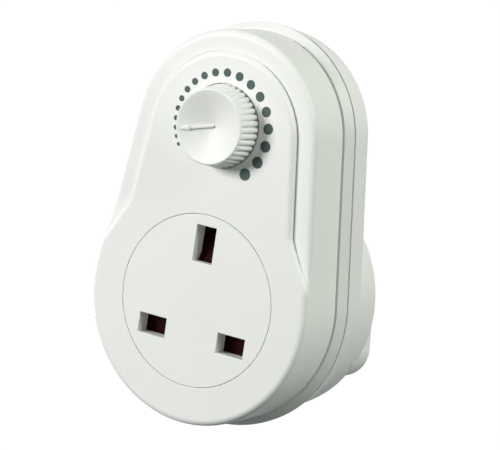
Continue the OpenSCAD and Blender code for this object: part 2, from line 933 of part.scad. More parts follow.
module pot_wiper() {
    front = pot_front + pot_wall + run_gap;
    color("goldenrod")
        difference() {
            union() {
                rod([0, knob_z], wiper_r, front, front + wiper_t);
                rod([wiper_r - 1.2, knob_z], 0.6, front, board_d - pot_wall - 0.8 - run_gap);
            }
            rod([0, knob_z], shaft_r, front - 1, front + wiper_t + 1);
        }
}

// The knob's skirt and face as one turned section, hollow behind, round a hub that grips the shaft
module knob_form() {
    hub_r = shaft_r + 2;
    skirt = 1.6;
    face = 1.2;
    dish_floor_r = 0.8;
    translate([0, -plug_depth, knob_z])
        rotate([-90, 0, 0])
            rotate_extrude()
                polygon([
                    [shaft_r + 0.02, knob_base_d],
                    [shaft_r + 0.02, dish_d + knob_face],
                    [0, dish_d + knob_face],
                    [0, dish_d],
                    [dish_floor_r, dish_d],
                    [knob_rim_r - 0.7, knob_rim_d + 0.1],
                    [knob_rim_r - 0.3, knob_rim_d],
                    [knob_rim_r, knob_rim_d + 0.3],
                    [knob_r, knob_base_d - 0.4],
                    [knob_r - 0.2, knob_base_d],
                    [knob_r - skirt, knob_base_d],
                    [knob_rim_r - skirt, dish_d + face],
                    [hub_r, dish_d + face],
                    [hub_r, knob_base_d]
                ]);
}

module knob() {
    flute_r = PI * knob_r / flutes * 0.62;
    slope = atan((knob_r - knob_rim_r) / (knob_h - knob_lift));
    rise = atan(dish / knob_rim_r);
    // The pointer's neck and tip, along the face, and half the widths of its shaft and its head
    neck = knob_rim_r - 3.1;
    tip = knob_rim_r - 0.9;
    shaft_half = 0.3;
    head_half = 0.6;
    color("whitesmoke")
        difference() {
            union() {
                knob_form();
                // Raised pointer on the dished face
                translate([0, dish_d - plug_depth, knob_z])
                    rotate([0, -pointer_angle, 0])
                        rotate([0, 0, -rise])
                            translate([0, 0.3, 0])
                                rotate([90, 0, 0])
                                    linear_extrude(0.65)
                                        polygon([
                                            [0, -shaft_half], [neck, -shaft_half], [neck, -head_half],
                                            [tip, 0],
                                            [neck, head_half], [neck, shaft_half], [0, shaft_half]
                                        ]);
            }
            for (i = [0 : flutes - 1])
                translate([0, knob_base_d - plug_depth + 0.1, knob_z])
                    rotate([0, i * 360 / flutes, 0])
                        translate([knob_r + flute_r * 0.25, 0, 0])
                            rotate([90, 0, 2 - slope])
                                cylinder(r = flute_r, h = knob_h - knob_lift - 0.6, $fn = 16);
        }
}

// Printed dots that grow steadily round the knob, each step wider than the one before by the same angle
dot_grow = 2 * (dot_first - dot_last - (dots - 1) * dot_step) / ((dots - 1) * (dots - 2));
function dot_size(i) = dot_min + (dot_max - dot_min) * i / (dots - 1);
function dot_angle(i) = dot_first - i * dot_step - dot_grow * i * (i - 1) / 2;
dot_t = 0.08;

module scale_dots() {
    color("slategray")
        for (i = [0 : dots - 1])
            let (angle = dot_angle(i))
            rod([dot_ring_r * cos(angle), knob_z + dot_ring_r * sin(angle)], dot_size(i) / 2, -dot_t, 0);
}

module triac_body() {
    color("#202020")
        block([triac_x, triac_z + triac_body_h / 2], triac_w, triac_body_h, tab_d - triac_body_t, tab_d);
}

module triac_tab() {
    color("silver")
        difference() {
            block([triac_x, triac_z + (triac_body_h + tab_h) / 2], triac_w, triac_body_h + tab_h,
                  tab_d, sink_d);
            rod([triac_x, tab_hole_z], screw_r + pilot_gap, tab_d - 1, sink_d + 1);
        }
}

module triac_leads() {
    mid = tab_d - triac_body_t / 2;
    color("silver")
        for (i = [-1 : 1]) {
            block([triac_x + i * leg_pitch, triac_z - leg_drop / 2], leg_w, leg_drop, mid, mid + leg_t);
            block([triac_x + i * leg_pitch, triac_z - leg_drop + leg_t / 2], leg_w, leg_t,
                  board_back, mid + leg_t);
        }
}

module heatsink() {
    color("gainsboro")
        difference() {
            union() {
                block([triac_x, sink_z + sink_h / 2], sink_w, sink_h, sink_d, sink_d + sink_t);
                block([triac_x, sink_z + sink_h - sink_t / 2], sink_w, sink_t, board_back, sink_d + sink_t);
            }
            rod([triac_x, tab_hole_z], screw_r + pilot_gap, sink_d - 1, sink_d + sink_t + 1);
        }
}

// A pan-headed screw that points at the front, with its head's seat at a depth
module screw(spot, seat, length) {
    rod(spot, screw_r, seat - length, seat);
    rod(spot, screw_head_r, seat, seat + screw_head_h);
}

// A screw with a cross cut into its head
module cross_screw(spot, seat, length) {
    difference() {
        screw(spot, seat, length);
        for (turn = [0, 90])
            translate([spot[0], seat + screw_head_h - plug_depth, spot[1]])
                rotate([0, turn, 0])
                    cube([screw_head_r * 1.1, 1.6, 0.7], center = true);
    }
}

module triac_screw() {
    color("silver")
        cross_screw([triac_x, tab_hole_z], sink_d + sink_t, sink_t + tab_t + nut_h);
}

module triac_nut() {
    color("silver")
        difference() {
            translate([triac_x, tab_d - plug_depth, tab_hole_z])
                rotate([90, 0, 0])
                    cylinder(r = nut_r, h = nut_h, $fn = 6);
            rod([triac_x, tab_hole_z], screw_r + pilot_gap, tab_d - nut_h - 1, tab_d + 1);
        }
}

// Ring with a rectangular section round the choke's axis
module choke_ring(inner, outer, d0, d1) {
    difference() {
        rod([choke_x, choke_z], outer, d0, d1);
        rod([choke_x, choke_z], inner, d0 - 1, d1 + 1);
    }
}

module choke_core() {
    color("dimgray")
        choke_ring(choke_in + winding_t, choke_r - winding_t, board_back + winding_t,
                   board_back + choke_h - winding_t);
}

module choke_winding() {
    color("peru")
        difference() {
            choke_ring(choke_in, choke_r, board_back, board_back + choke_h);
            choke_ring(choke_in + winding_t, choke_r - winding_t, board_back + winding_t,
                       board_back + choke_h - winding_t);
            // The winding stops short of itself
            block([choke_x, choke_z - choke_r], 4, 2 * choke_r, board_back - 1, board_back + choke_h + 1);
        }
}

module film_capacitor() {
    color("gold")
        block(film_pos, film_size[0], film_size[1], board_back, board_back + film_size[2]);
}

module timing_capacitor() {
    color("firebrick")
        block(timing_pos, timing_size[0], timing_size[1], board_back, board_back + timing_size[2]);
}

// A piece with a wire lead at each end, lying along X on the board
module axial(spot, body_r, body_l, reach) {
    axis_d = board_back + body_r + 0.3;
    translate([spot[0] - body_l / 2, axis_d - plug_depth, spot[1]])
        rotate([0, 90, 0])
            cylinder(r = body_r, h = body_l);
    translate([spot[0] - reach, axis_d - plug_depth, spot[1]])
        rotate([0, 90, 0])
            cylinder(r = lead_r, h = 2 * reach);
    for (side = [-1, 1])
        rod([spot[0] + side * (reach - lead_r), spot[1]], lead_r, board_back, axis_d + lead_r);
}

module resistors() {
    color("tan")
        for (side = [-1, 1])
            axial([side * resistor_x, resistor_z], resistor_r, resistor_l, resistor_reach);
}

module diac() {
    color("orangered")
        axial(diac_pos, diac_r, diac_l, diac_reach);
}

// An insulated wire along straight runs between [x, z, depth] points, with round corners
module wire(points) {
    function at(p) = [p[0], p[2] - plug_depth, p[1]];
    for (i = [0 : len(points) - 2]) {
        start = at(points[i]);
        run = at(points[i + 1]) - start;
        translate(start)
            rotate([0, acos(run[2] / norm(run)), atan2(run[1], run[0])])
                cylinder(r = wire_r, h = norm(run));
    }
    for (i = [1 : len(points) - 2])
        translate(at(points[i]))
            sphere(r = wire_r);
}

module live_feed_wire() {
    color("saddlebrown")
        wire([
            [-clip_x, feed_z, clip_base_d],
            [-clip_x, feed_z, board_back + 3],
            [-clip_x, pad_z, board_back + 3],
            [-clip_x, pad_z, board_back]
        ]);
}

module dimmed_live_wire() {
    start = contact_back + box_floor + 1;
    color("saddlebrown")
        wire([
            [pin_x, 0, start],
            [pin_x, 0, start + 2],
            [pin_x, pad_z, start + 2],
            [pin_x, pad_z, board_back]
        ]);
}

module neutral_wire() {
    x = -clip_x - 2 * wire_r - wire_gap;
    d = contact_back + box_floor + 2.5;
    color("royalblue")
        wire([
            [x, strap_t / 2, d],
            [x, pad_z, d],
            [x, pad_z, board_back]
        ]);
}

module housing_screws() {
    color("silver")
        for (spot = housing_spots)
            cross_screw(spot, spot[2], screw_l);
}

module board_screws() {
    color("silver")
        for (spot = board_spots)
            cross_screw(spot, board_back, short_screw_l);
}

module carrier_screws() {
    color("silver")
        for (spot = carrier_spots)
            cross_screw(spot, carrier_d + carrier_t, short_screw_l);
}

front_shell();
rear_shell();
socket_insert();
shutter();
shutter_spring();
contact_carrier();
line_contact();
neutral_contact();
earth_contact();
line_pin();
neutral_pin();
earth_pin();
pin_sleeves();
line_strap();
neutral_strap();
earth_strap();
fuse_holder();
fuse_clips();
fuse_carrier();
fuse_body();
fuse_end_caps();
circuit_board();
pot_body();
pot_bush();
pot_track();
pot_terminals();
pot_shaft();
pot_wiper();
knob();
scale_dots();
triac_body();
triac_tab();
triac_leads();
heatsink();
triac_screw();
triac_nut();
choke_core();
choke_winding();
film_capacitor();
timing_capacitor();
resistors();
diac();
live_feed_wire();
dimmed_live_wire();
neutral_wire();
housing_screws();
board_screws();
carrier_screws();
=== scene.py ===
"""Plug-in dimmer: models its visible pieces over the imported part, and gives every piece its finish."""
import json
import math

import bmesh
import bpy
from bpy.props import FloatProperty, FloatVectorProperty, IntProperty, PointerProperty
from mathutils import Matrix, Vector


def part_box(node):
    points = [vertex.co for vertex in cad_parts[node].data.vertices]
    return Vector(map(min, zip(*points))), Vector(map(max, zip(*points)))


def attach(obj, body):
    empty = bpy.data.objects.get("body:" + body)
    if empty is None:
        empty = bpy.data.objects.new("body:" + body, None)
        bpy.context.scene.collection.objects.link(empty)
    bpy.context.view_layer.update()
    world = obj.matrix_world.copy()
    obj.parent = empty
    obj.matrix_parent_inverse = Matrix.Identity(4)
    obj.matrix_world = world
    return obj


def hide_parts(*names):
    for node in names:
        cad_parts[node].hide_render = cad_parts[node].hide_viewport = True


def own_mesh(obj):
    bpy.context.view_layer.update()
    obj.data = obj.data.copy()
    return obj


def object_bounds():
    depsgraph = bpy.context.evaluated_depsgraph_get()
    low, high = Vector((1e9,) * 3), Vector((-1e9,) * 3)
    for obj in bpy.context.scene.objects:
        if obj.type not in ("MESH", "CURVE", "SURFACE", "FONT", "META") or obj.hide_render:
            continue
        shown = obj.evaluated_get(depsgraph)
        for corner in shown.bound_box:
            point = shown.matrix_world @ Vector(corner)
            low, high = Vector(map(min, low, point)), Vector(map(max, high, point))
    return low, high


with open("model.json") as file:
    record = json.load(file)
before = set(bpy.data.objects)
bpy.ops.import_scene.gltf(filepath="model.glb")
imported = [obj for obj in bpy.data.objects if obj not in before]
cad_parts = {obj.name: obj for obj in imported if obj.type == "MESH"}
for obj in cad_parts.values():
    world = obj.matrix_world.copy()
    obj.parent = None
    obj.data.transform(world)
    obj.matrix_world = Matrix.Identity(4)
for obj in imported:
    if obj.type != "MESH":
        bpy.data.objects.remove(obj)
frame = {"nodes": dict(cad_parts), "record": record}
CAD_BOX = [list(corner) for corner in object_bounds()]

bl_info = {
    "name": "Plug-in dimmer",
    "version": (1, 0, 0),
    "blender": (4, 5, 0),
    "location": "View3D > Sidebar > Dimmer",
    "description": "Models and finishes a plug-in lamp dimmer",
    "category": "Add Mesh",
}

MM = 0.001
TAU = 2 * math.pi

# What a cutter adds beyond the faces that it cuts, and how near a point lies to a face that it is on
CUT = 1 * MM
NEAR = 0.01 * MM
# Points round the housing's outline, a large circle and a bar
OUTLINE_POINTS = 288
ROUND_POINTS = 160
BAR_POINTS = 48
# Angles in degrees up to which edges shade smoothly, on plain pieces and on fluted or wound ones
PLAIN_SMOOTH = 32
WIDE_SMOOTH = 40

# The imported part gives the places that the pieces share
INSERT_LOW, INSERT_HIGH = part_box("socket_insert")
SHAFT_LOW, SHAFT_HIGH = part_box("pot_shaft")
COVER_LOW, COVER_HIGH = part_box("fuse_carrier")
FRONT_Y = INSERT_LOW.y
PLUG_Y = 0.0
PLUG_DEPTH = PLUG_Y - FRONT_Y
DRUM_Z = (INSERT_LOW.z + INSERT_HIGH.z) / 2
KNOB_Z = (SHAFT_LOW.z + SHAFT_HIGH.z) / 2
SHAFT_R = (SHAFT_HIGH.x - SHAFT_LOW.x) / 2
FLANGE_R = (INSERT_HIGH.x - INSERT_LOW.x) / 2
INSERT_T = INSERT_HIGH.y - INSERT_LOW.y
COVER_W = COVER_HIGH.x - COVER_LOW.x
COVER_H = COVER_HIGH.z - COVER_LOW.z
COVER_Z = (COVER_LOW.z + COVER_HIGH.z) / 2


def length(name, default_mm, description):
    """A size that a user may change, given in millimetres and kept in metres."""
    return FloatProperty(name=name, description=description, default=default_mm * MM, unit="LENGTH",
                         precision=5)


def bearing(name, default_deg, description):
    """An angle that a user may change, given in degrees and kept in radians."""
    return FloatProperty(name=name, description=description, default=math.radians(default_deg),
                         subtype="ANGLE")


def tally(name, default, least, description):
    """A number of like features that a user may change."""
    return IntProperty(name=name, description=description, default=default, min=least)


def colour(name, default, description):
    """A colour that a user may change."""
    return FloatVectorProperty(name=name, description=description, default=default, subtype="COLOR",
                               size=3, min=0.0, max=1.0)


class DIMMER_PG_housing(bpy.types.PropertyGroup):
    """Sizes of the two shells"""
    drum_r: length("Drum radius", 30, "Radius of the lower drum")
    head_r: length("Head radius", 25, "Radius of the round head")
    head_rise: length("Head rise", 40, "Height of the head's centre above the drum's axis")
    wall: length("Wall", 2.2, "Wall thickness of the front shell")
    rear_wall: length("Rear wall", 2.5, "Wall thickness of the rear shell")
    drum_wall: length("Drum wall", 2.8, "Wall thickness of the drum behind the head")
    face_wall: length("Plug face", 3, "Wall thickness of the plug face")
    edge_fillet: length("Front edge", 1.5, "Radius along the front edge")
    panel_fillet: length("Panel edge", 1.2, "Radius along the raised panel's edge")
    back_fillet: length("Back edge", 3, "Radius along the back of the head")
    drum_fillet: length("Drum back edge", 2, "Radius along the back of the drum")
    base_fillet: length("Plug base edge", 1.2, "Radius along the edge of the plug face")
    panel_step: length("Panel step", 1.6, "How far the raised panel stands in front of the shoulder")
    panel_inset: length("Panel inset", 5.05, "Width of the shoulder beside the raised panel")
    flare_foot: length("Flare foot", 8.5, "Height above the drum's axis where the flare meets the side")
    flare_top: length("Flare top", 20.6, "Height above the drum's axis where the panel starts to flare")
    bead_start: length("Bead start", 14.5, "Depth of the moulded groove in front of the bead")
    part_line: length("Parting line", 17, "Depth of the parting line between the shells")
    bead_out: length("Bead", 1.74, "How far the bead stands out from the side")
    gap: length("Shadow gap", 0.6, "Width of the gap at the parting line")
    head_back: length("Head back", 28.5, "Depth of the back of the head")
    drum_back: length("Drum back", 36.5, "Depth of the back of the drum")
    taper_mid: length("Head taper", 0.1, "How far the side stands out where the back edge starts")
    taper_end: length("Drum taper", -0.6, "How far the drum's side stands out at its back")


class DIMMER_PG_socket(bpy.types.PropertyGroup):
    """Sizes of the socket's insert and of its shutter's spring"""
    insert_r: length("Insert radius", 20.74, "Radius of the round insert")
    seam: length("Seam", 0.1, "Gap round the insert")
    edge: length("Edge", 0.16, "Radius along the insert's rim and its opening")
    lip: length("Aperture edge", 0.22, "Bevel along the apertures")
    pitch: length("Pin pitch", 22.2, "Distance between the lower apertures")
    rise: length("Earth rise", 22.2, "Height of the earth aperture above the lower ones")
    slot_w: length("Slot width", 7.5, "Width of a lower aperture")
    slot_h: length("Slot height", 4.82, "Height of a lower aperture")
    earth_w: length("Earth width", 5.37, "Width of the earth aperture")
    earth_h: length("Earth height", 8.82, "Height of the earth aperture")
    skin: length("Skin", 2.1, "Thickness of the insert where the shutter's ramp slides")
    travel: length("Shutter travel", 5.5, "Distance that the shutter slides")
    wire_r: length("Spring wire", 0.25, "Radius of the return spring's wire")
    turns: tally("Spring turns", 6, 2, "Turns of the return spring")


class DIMMER_PG_knob(bpy.types.PropertyGroup):
    """Sizes of the knob and its scale"""
    base_r: length("Base radius", 9.95, "Radius of the knob at its base")
    rim_r: length("Rim radius", 9.05, "Radius of the knob at its rim")
    rim_h: length("Height", 6.2, "Height of the rim in front of the panel")
    lift: length("Lift", 0.0, "Height of the knob's foot above the panel")
    recess: length("Recess", 0.6, "Depth of the recess round the knob's foot")
    recess_gap: length("Recess gap", 0.2, "Gap between the knob's foot and the recess")
    dish: length("Dish", 2.9, "Depth of the dished face")
    rim_fillet: length("Rim edge", 0.4, "Radius along the rim")
    flutes: tally("Flutes", 38, 12, "Number of flutes round the knob")
    flute_depth: length("Flute depth", 1.0, "Depth of a groove between two flutes")
    pointer_angle: bearing("Pointer", 194, "Angle of the pointer, anticlockwise from the right")
    dots: tally("Dots", 19, 3, "Number of dots in the scale")
    dot_ring_r: length("Dot ring", 12.8, "Radius of the ring of dots")
    dot_min: length("Smallest dot", 0.9, "Diameter of the smallest dot")
    dot_max: length("Largest dot", 2.95, "Diameter of the largest dot")
    dot_first: bearing("First dot", 210, "Angle of the smallest dot")
    dot_last: bearing("Last dot", -50, "Angle of the largest dot")
    dot_step: bearing("First step", 8.7, "Angle between the two smallest dots")
    dot_t: length("Ink", 0.05, "Thickness of a dot")


class DIMMER_PG_plug(bpy.types.PropertyGroup):
    """Sizes of the pins and their sleeves"""
    pin_w: length("Pin width", 6.35, "Width of a lower pin")
    pin_h: length("Pin height", 3.97, "Height of a lower pin")
    pin_l: length("Pin length", 17.7, "Length of a lower pin")
    earth_w: length("Earth width", 3.97, "Width of the earth pin")
    earth_h: length("Earth height", 7.92, "Height of the earth pin")
    earth_l: length("Earth length", 22.7, "Length of the earth pin")
    sleeve_l: length("Sleeve length", 9, "Length of the sleeve on a lower pin")
    sleeve_t: length("Sleeve thickness", 0.5, "Thickness of the sleeve")
    tip: length("Tip", 1.2, "Bevel at a pin's tip")
    edge: length("Edge", 0.35, "Radius along a pin's edges")


class DIMMER_PG_finish(bpy.types.PropertyGroup):
    """Main colours"""
    body: colour("Body", (0.85, 0.853, 0.835), "Off-white of the shells")
    body_shade: colour("Body shade", (0.825, 0.83, 0.808), "Slightly darker off-white in the mottle")
    knob: colour("Knob", (0.842, 0.847, 0.825), "White of the knob")
    ink: colour("Ink", (0.06, 0.09, 0.083), "Grey of the printed dots")
    # The shutter's colour is its own dark red, made darker still as painted shade for the shadowed insides
    # of the apertures
    shutter: colour("Shutter", (0.017, 0.0008, 0.0023), "Dark red of the shutter")
    brass: colour("Brass", (0.72, 0.5, 0.2), "Brass of the pins and contacts")


def sizes(group):
    """One of the scene's groups of sizes or colours."""
    return getattr(bpy.context.scene, "dimmer_" + group)


# Modelling helpers


def deselect():
    """Object mode with nothing selected, so that the next operator acts on its own piece alone."""
    if bpy.context.object and bpy.context.object.mode != "OBJECT":
        bpy.ops.object.mode_set(mode="OBJECT")
    bpy.ops.object.select_all(action="DESELECT")


def make_active(piece):
    """Selects one piece for the operators that follow."""
    deselect()
    piece.select_set(True)
    bpy.context.view_layer.objects.active = piece


def added(name):
    """The primitive that was just added, under its own name."""
    piece = bpy.context.object
    piece.name = name
    piece.data.name = name
    return piece


def spot(x, depth, z):
    """A point at a depth behind the front panel."""
    return Vector((x, FRONT_Y + depth, z))


def loft(name, points, rows, place):
    """A closed form: a disc that is extruded row by row, where place(row, turn) gives each point."""
    deselect()
    bpy.ops.mesh.primitive_circle_add(vertices=points, fill_type="NGON")
    piece = added(name)
    bpy.ops.object.mode_set(mode="EDIT")
    mesh = bmesh.from_edit_mesh(piece.data)
    turn = mesh.verts.layers.float.new("turn")
    for vert in mesh.verts:
        vert[turn] = (math.atan2(vert.co.y, vert.co.x) / TAU) % 1.0
    for index, row in enumerate(rows):
        if index:
            bpy.ops.mesh.extrude_region_move()
        mesh = bmesh.from_edit_mesh(piece.data)
        turn = mesh.verts.layers.float["turn"]
        for vert in mesh.verts:
            if vert.select:
                vert.co = place(row, vert[turn])
        bmesh.update_edit_mesh(piece.data)
    bpy.ops.mesh.select_all(action="SELECT")
    bpy.ops.mesh.normals_make_consistent(inside=False)
    bpy.ops.object.mode_set(mode="OBJECT")
    piece.data.attributes.remove(piece.data.attributes["turn"])
    return piece


def turned(name, points, rows, z):
    """A form turned about an axis along the depth, from (radius, depth) rows."""
    def place(row, turn):
        return spot(row[0] * math.cos(TAU * turn), row[1], z + row[0] * math.sin(TAU * turn))
    return loft(name, points, rows, place)


def moved(piece, x):
    """Moves a piece's mesh sideways, with its object left at the origin."""
    piece.data.transform(Matrix.Translation((x, 0, 0)))
    return piece


def bar(x, z, radius, depth_0, depth_1, points=BAR_POINTS):
    """A round bar along the depth."""
    return moved(turned("bar", points, [(radius, depth_0), (radius, depth_1)], z), x)


def block(name, middle, extent):
    """A block round a middle point."""
    deselect()
    bpy.ops.mesh.primitive_cube_add(size=1, location=middle, scale=extent)
    piece = added(name)
    bpy.ops.object.transform_apply(location=True, rotation=True, scale=True)
    return piece


def box(x, z, w, h, depth_0, depth_1, name="box"):
    """A block with its middle at x and z, between two depths."""
    return block(name, spot(x, (depth_0 + depth_1) / 2, z), (w, depth_1 - depth_0, h))


def joined(pieces, name):
    """Joins pieces into the first of them."""
    deselect()
    for piece in pieces:
        piece.select_set(True)
    bpy.context.view_layer.objects.active = pieces[0]
    if len(pieces) > 1:
        bpy.ops.object.join()
    return added(name)


def carve(piece, tool, operation="DIFFERENCE"):
    """Cuts a tool from a piece, or adds it, and removes the tool."""
    make_active(piece)
    bpy.ops.object.modifier_add(type="BOOLEAN")
    step = piece.modifiers[-1]
    step.operation = operation
    step.solver = "EXACT"
    step.object = tool
    bpy.ops.object.modifier_apply(modifier=step.name)
    bpy.data.objects.remove(tool)


def bevel_edges(piece, test, width, segments):
    """Rounds the edges whose two ends pass a test."""
    make_active(piece)
    bpy.ops.object.mode_set(mode="EDIT")
    bpy.ops.mesh.select_mode(type="EDGE")
    bpy.ops.mesh.select_all(action="DESELECT")
    mesh = bmesh.from_edit_mesh(piece.data)
    for edge in mesh.edges:
        edge.select_set(all(test(vert.co) for vert in edge.verts))
    bmesh.update_edit_mesh(piece.data)
    bpy.ops.mesh.bevel(offset=width, segments=segments, affect="EDGES", clamp_overlap=True)
    bpy.ops.object.mode_set(mode="OBJECT")


def smooth(piece, degrees=PLAIN_SMOOTH):
    """Smooth shading over soft edges, with the wide flat faces kept flat."""
    make_active(piece)
    bpy.ops.object.shade_smooth_by_angle(angle=math.radians(degrees))
    bpy.ops.object.modifier_add(type="WEIGHTED_NORMAL")
    step = piece.modifiers[-1]
    step.keep_sharp = True
    bpy.ops.object.modifier_apply(modifier=step.name)


def look_name(slot):
    """Name of the material that a slot's pieces wear."""
    return slot + "_look"


def finish_piece(piece, body, slot, *nodes):
    """Puts a piece in place of its nodes, on its body, with its finish."""
    piece.data.materials.clear()
    piece.data.materials.append(bpy.data.materials[look_name(slot)])
    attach(piece, body)
    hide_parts(*nodes)


def arc(middle, radius, start, end, steps):
    """(offset, depth) points along an arc, with 0 degrees outwards and 90 degrees towards the front."""
    points = []
    for step in range(steps + 1):
        angle = math.radians(start + (end - start) * step / steps)
        points.append((middle[0] + radius * math.cos(angle), middle[1] - radius * math.sin(angle)))
    return points


# The housing's outline, which its rings follow

# Share of the flare that eases in and out, where the rest is straight
FLARE_EASE = 0.15


class Outline:
    """A drum and a smaller head above it, with straight flanks between them."""

    def __init__(self, housing):
        self.drum_r = housing.drum_r
        self.head_r = housing.head_r
        self.rise = housing.head_rise
        self.lean = math.asin((self.drum_r - self.head_r) / self.rise)
        self.flank = self.rise * math.cos(self.lean)
        self.quarter = self.drum_r * (math.pi / 2 + self.lean)
        self.cap = self.head_r * (math.pi / 2 - self.lean)
        self.foot = self.along(housing.flare_foot)
        self.top = self.along(housing.flare_top)

    def along(self, height):
        """Distance up the flank to a height above the drum's axis."""
        return (height - self.drum_r * math.sin(self.lean)) / math.cos(self.lean)

    def flare(self, way):
        """0 where the panel reaches the side, 1 where the shoulder has its full width."""
        share = min(max((way - self.foot) / (self.top - self.foot), 0.0), 1.0)
        eased = share * share * (3 - 2 * share)
        return (1 - FLARE_EASE) * share + FLARE_EASE * eased

    def frame_at(self, turn):
        """Point, outward normal and flare at a share of the way round, from the foot and back."""
        half = self.quarter + self.flank + self.cap
        way = 2 * half * turn
        side = 1.0
        if way > half:
            way = 2 * half - way
            side = -1.0
        if way < self.quarter:
            angle = way / self.drum_r - math.pi / 2
            normal = (math.cos(angle), math.sin(angle))
            point = (self.drum_r * normal[0], self.drum_r * normal[1])
            share = 0.0
        elif way < self.quarter + self.flank:
            run = way - self.quarter
            normal = (math.cos(self.lean), math.sin(self.lean))
            point = (self.drum_r * normal[0] - run * normal[1], self.drum_r * normal[1] + run * normal[0])
            share = self.flare(run)
        else:
            angle = self.lean + (way - self.quarter - self.flank) / self.head_r
            normal = (math.cos(angle), math.sin(angle))
            point = (self.head_r * normal[0], self.rise + self.head_r * normal[1])
            share = 1.0
        return (side * point[0], point[1]), (side * normal[0], normal[1]), share

    def place(self, row, turn):
        """A row's point, where a row is one (offset, depth), or one for the drum and one for the head."""
        point, normal, share = self.frame_at(turn)
        low, high = row if isinstance(row[0], tuple) else (row, row)
        offset = low[0] + (high[0] - low[0]) * share
        depth = low[1] + (high[1] - low[1]) * share
        return spot(point[0] + normal[0] * offset, depth, DRUM_Z + point[1] + normal[1] * offset)


# Front shell

# Rim of the bead, as (inwards, forwards) points in shares of its lip
BEAD_LIP = 0.16 * MM
BEAD_RIM = ((1.6, 0.0), (0.4, 0.3), (0.0, 1.0), (0.3, 2.2))
# Moulded groove in front of the bead, as (offset, depth) points in mm from its middle
GROOVE = ((0.38, 0.4), (0.24, 0.28), (-0.9, 0.22), (-0.9, -0.26), (-0.08, -0.3), (0.0, -0.4))
# Fine groove at the raised panel's foot, and the bevel along it
FOOT_GROOVE = 0.2 * MM
FOOT_EDGE = 0.08 * MM
# Strip of the side behind the front edge, and the share of the shoulder's width where a row splits it
SIDE_STRIP = 4 * MM
SHOULDER_SPLIT = 0.35
EDGE_STEPS = 7
PANEL_STEPS = 6
# Bosses for screws: how deep they stand in the wall, their pilot holes, and the depths where they end
BOSS_R = 2.5 * MM
BOSS_ROOT = 0.6 * MM
BOSS_ROOM = 0.02 * MM
PILOT_R = 1.45 * MM
PILOT_FLOOR = 1.2 * MM
PILOT_POINTS = 24
BOARD_SEAT = 12 * MM
CARRIER_SEAT = 8.2 * MM
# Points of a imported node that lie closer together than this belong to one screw
SCREW_APART = 6 * MM
# A depth that clears the front wall, and the shaft's room in it
WALL_DEPTH = 3 * MM
SHAFT_ROOM = 0.4 * MM


def front_rows(h):
    """Rows of the front shell, from the inside of its front wall, round its rim, to the raised panel."""
    inner = h.panel_step + h.wall
    rows = [
        (-h.panel_inset - h.wall, h.wall),
        (-h.panel_inset - h.wall, inner),
        (-h.wall, inner),
        (-h.wall, h.part_line),
    ]
    rows += [(h.bead_out - x * BEAD_LIP, h.part_line - y * BEAD_LIP) for x, y in BEAD_RIM]
    rows += [(x * MM, h.bead_start + y * MM) for x, y in GROOVE]
    # Edge of the side, the shoulder and the raised panel with the groove at its foot: on the drum they run
    # together into one round
    r, step, inset, top = h.edge_fillet, h.panel_step, h.panel_inset, h.panel_fillet
    foot = -inset + FOOT_GROOVE
    edge = arc((-r, step + r), r, 0, 90, EDGE_STEPS)
    shoulder = [
        (-r - SHOULDER_SPLIT * (inset - r), step),
        (foot + FOOT_EDGE, step),
        (foot, step + FOOT_EDGE),
        (foot, step + FOOT_GROOVE),
        (-inset, step + FOOT_GROOVE),
        (-inset, step - FOOT_GROOVE),
    ]
    panel = arc((-inset - top, top), top, 0, 90, PANEL_STEPS)
    side = [(0.0, step + r - step * index / EDGE_STEPS) for index in range(EDGE_STEPS + 1)]
    turn = arc((-r, r), r, 0, 90, len(shoulder) + len(panel))
    rows.append((0.0, step + r + SIDE_STRIP))
    rows += list(zip(side + turn[1:], edge + shoulder + panel))
    return rows


def screw_spots(name):
    """(x, z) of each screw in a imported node."""
    screws = []
    for vert in frame["nodes"][name].data.vertices:
        point = (vert.co.x, vert.co.z)
        near = [points for points in screws if math.dist(point, points[0]) < SCREW_APART]
        if near:
            near[0].append(point)
        else:
            screws.append([point])
    spots = []
    for points in screws:
        xs, zs = zip(*points)
        spots.append(((min(xs) + max(xs)) / 2, (min(zs) + max(zs)) / 2))
    return spots


def on_circle(co, radius):
    """Is a point on the front panel, on a circle round the drum's axis?"""
    return abs(co.y - FRONT_Y) < NEAR and abs(math.hypot(co.x, co.z - DRUM_Z) - radius) < 2 * NEAR


class DIMMER_OT_front_shell(bpy.types.Operator):
    """Models the front half of the housing, with its raised panel, groove and bead"""
    bl_idname = "dimmer.front_shell"
    bl_label = "Front shell"

    def execute(self, context):
        h = sizes("housing")
        s = sizes("socket")
        k = sizes("knob")
        shell = loft("front_shell_skin", OUTLINE_POINTS, front_rows(h), Outline(h).place)
        floor = h.panel_step + h.wall - BOSS_ROOT
        ends = {"housing_screws": h.part_line, "board_screws": BOARD_SEAT, "carrier_screws": CARRIER_SEAT}
        bosses = []
        pilots = []
        for name, end in ends.items():
            for x, z in screw_spots(name):
                bosses.append(bar(x, z, BOSS_R, floor, end - BOSS_ROOM))
                pilots.append(bar(x, z, PILOT_R, floor + PILOT_FLOOR, end + CUT, PILOT_POINTS))
        carve(shell, joined(bosses, "bosses"), "UNION")
        carve(shell, joined(pilots, "pilots"))
        rim = s.insert_r + s.seam
        carve(shell, bar(0, DRUM_Z, rim, -CUT, WALL_DEPTH, ROUND_POINTS))
        carve(shell, bar(0, KNOB_Z, k.base_r + k.recess_gap, -CUT, k.recess, ROUND_POINTS))
        carve(shell, bar(0, KNOB_Z, SHAFT_R + SHAFT_ROOM, -CUT, WALL_DEPTH))
        bevel_edges(shell, lambda co: on_circle(co, rim), s.edge, segments=3)
        smooth(shell)
        finish_piece(shell, "housing", "body_plastic", "front_shell")
        return {"FINISHED"}


# Rear shell

# Rim behind the gap, as (inwards, backwards) points in shares of its lip
REAR_LIP = 0.18 * MM
REAR_RIM = ((1.7, 0.0), (0.5, 0.3), (0.0, 1.1), (1 / 9, 2.4))
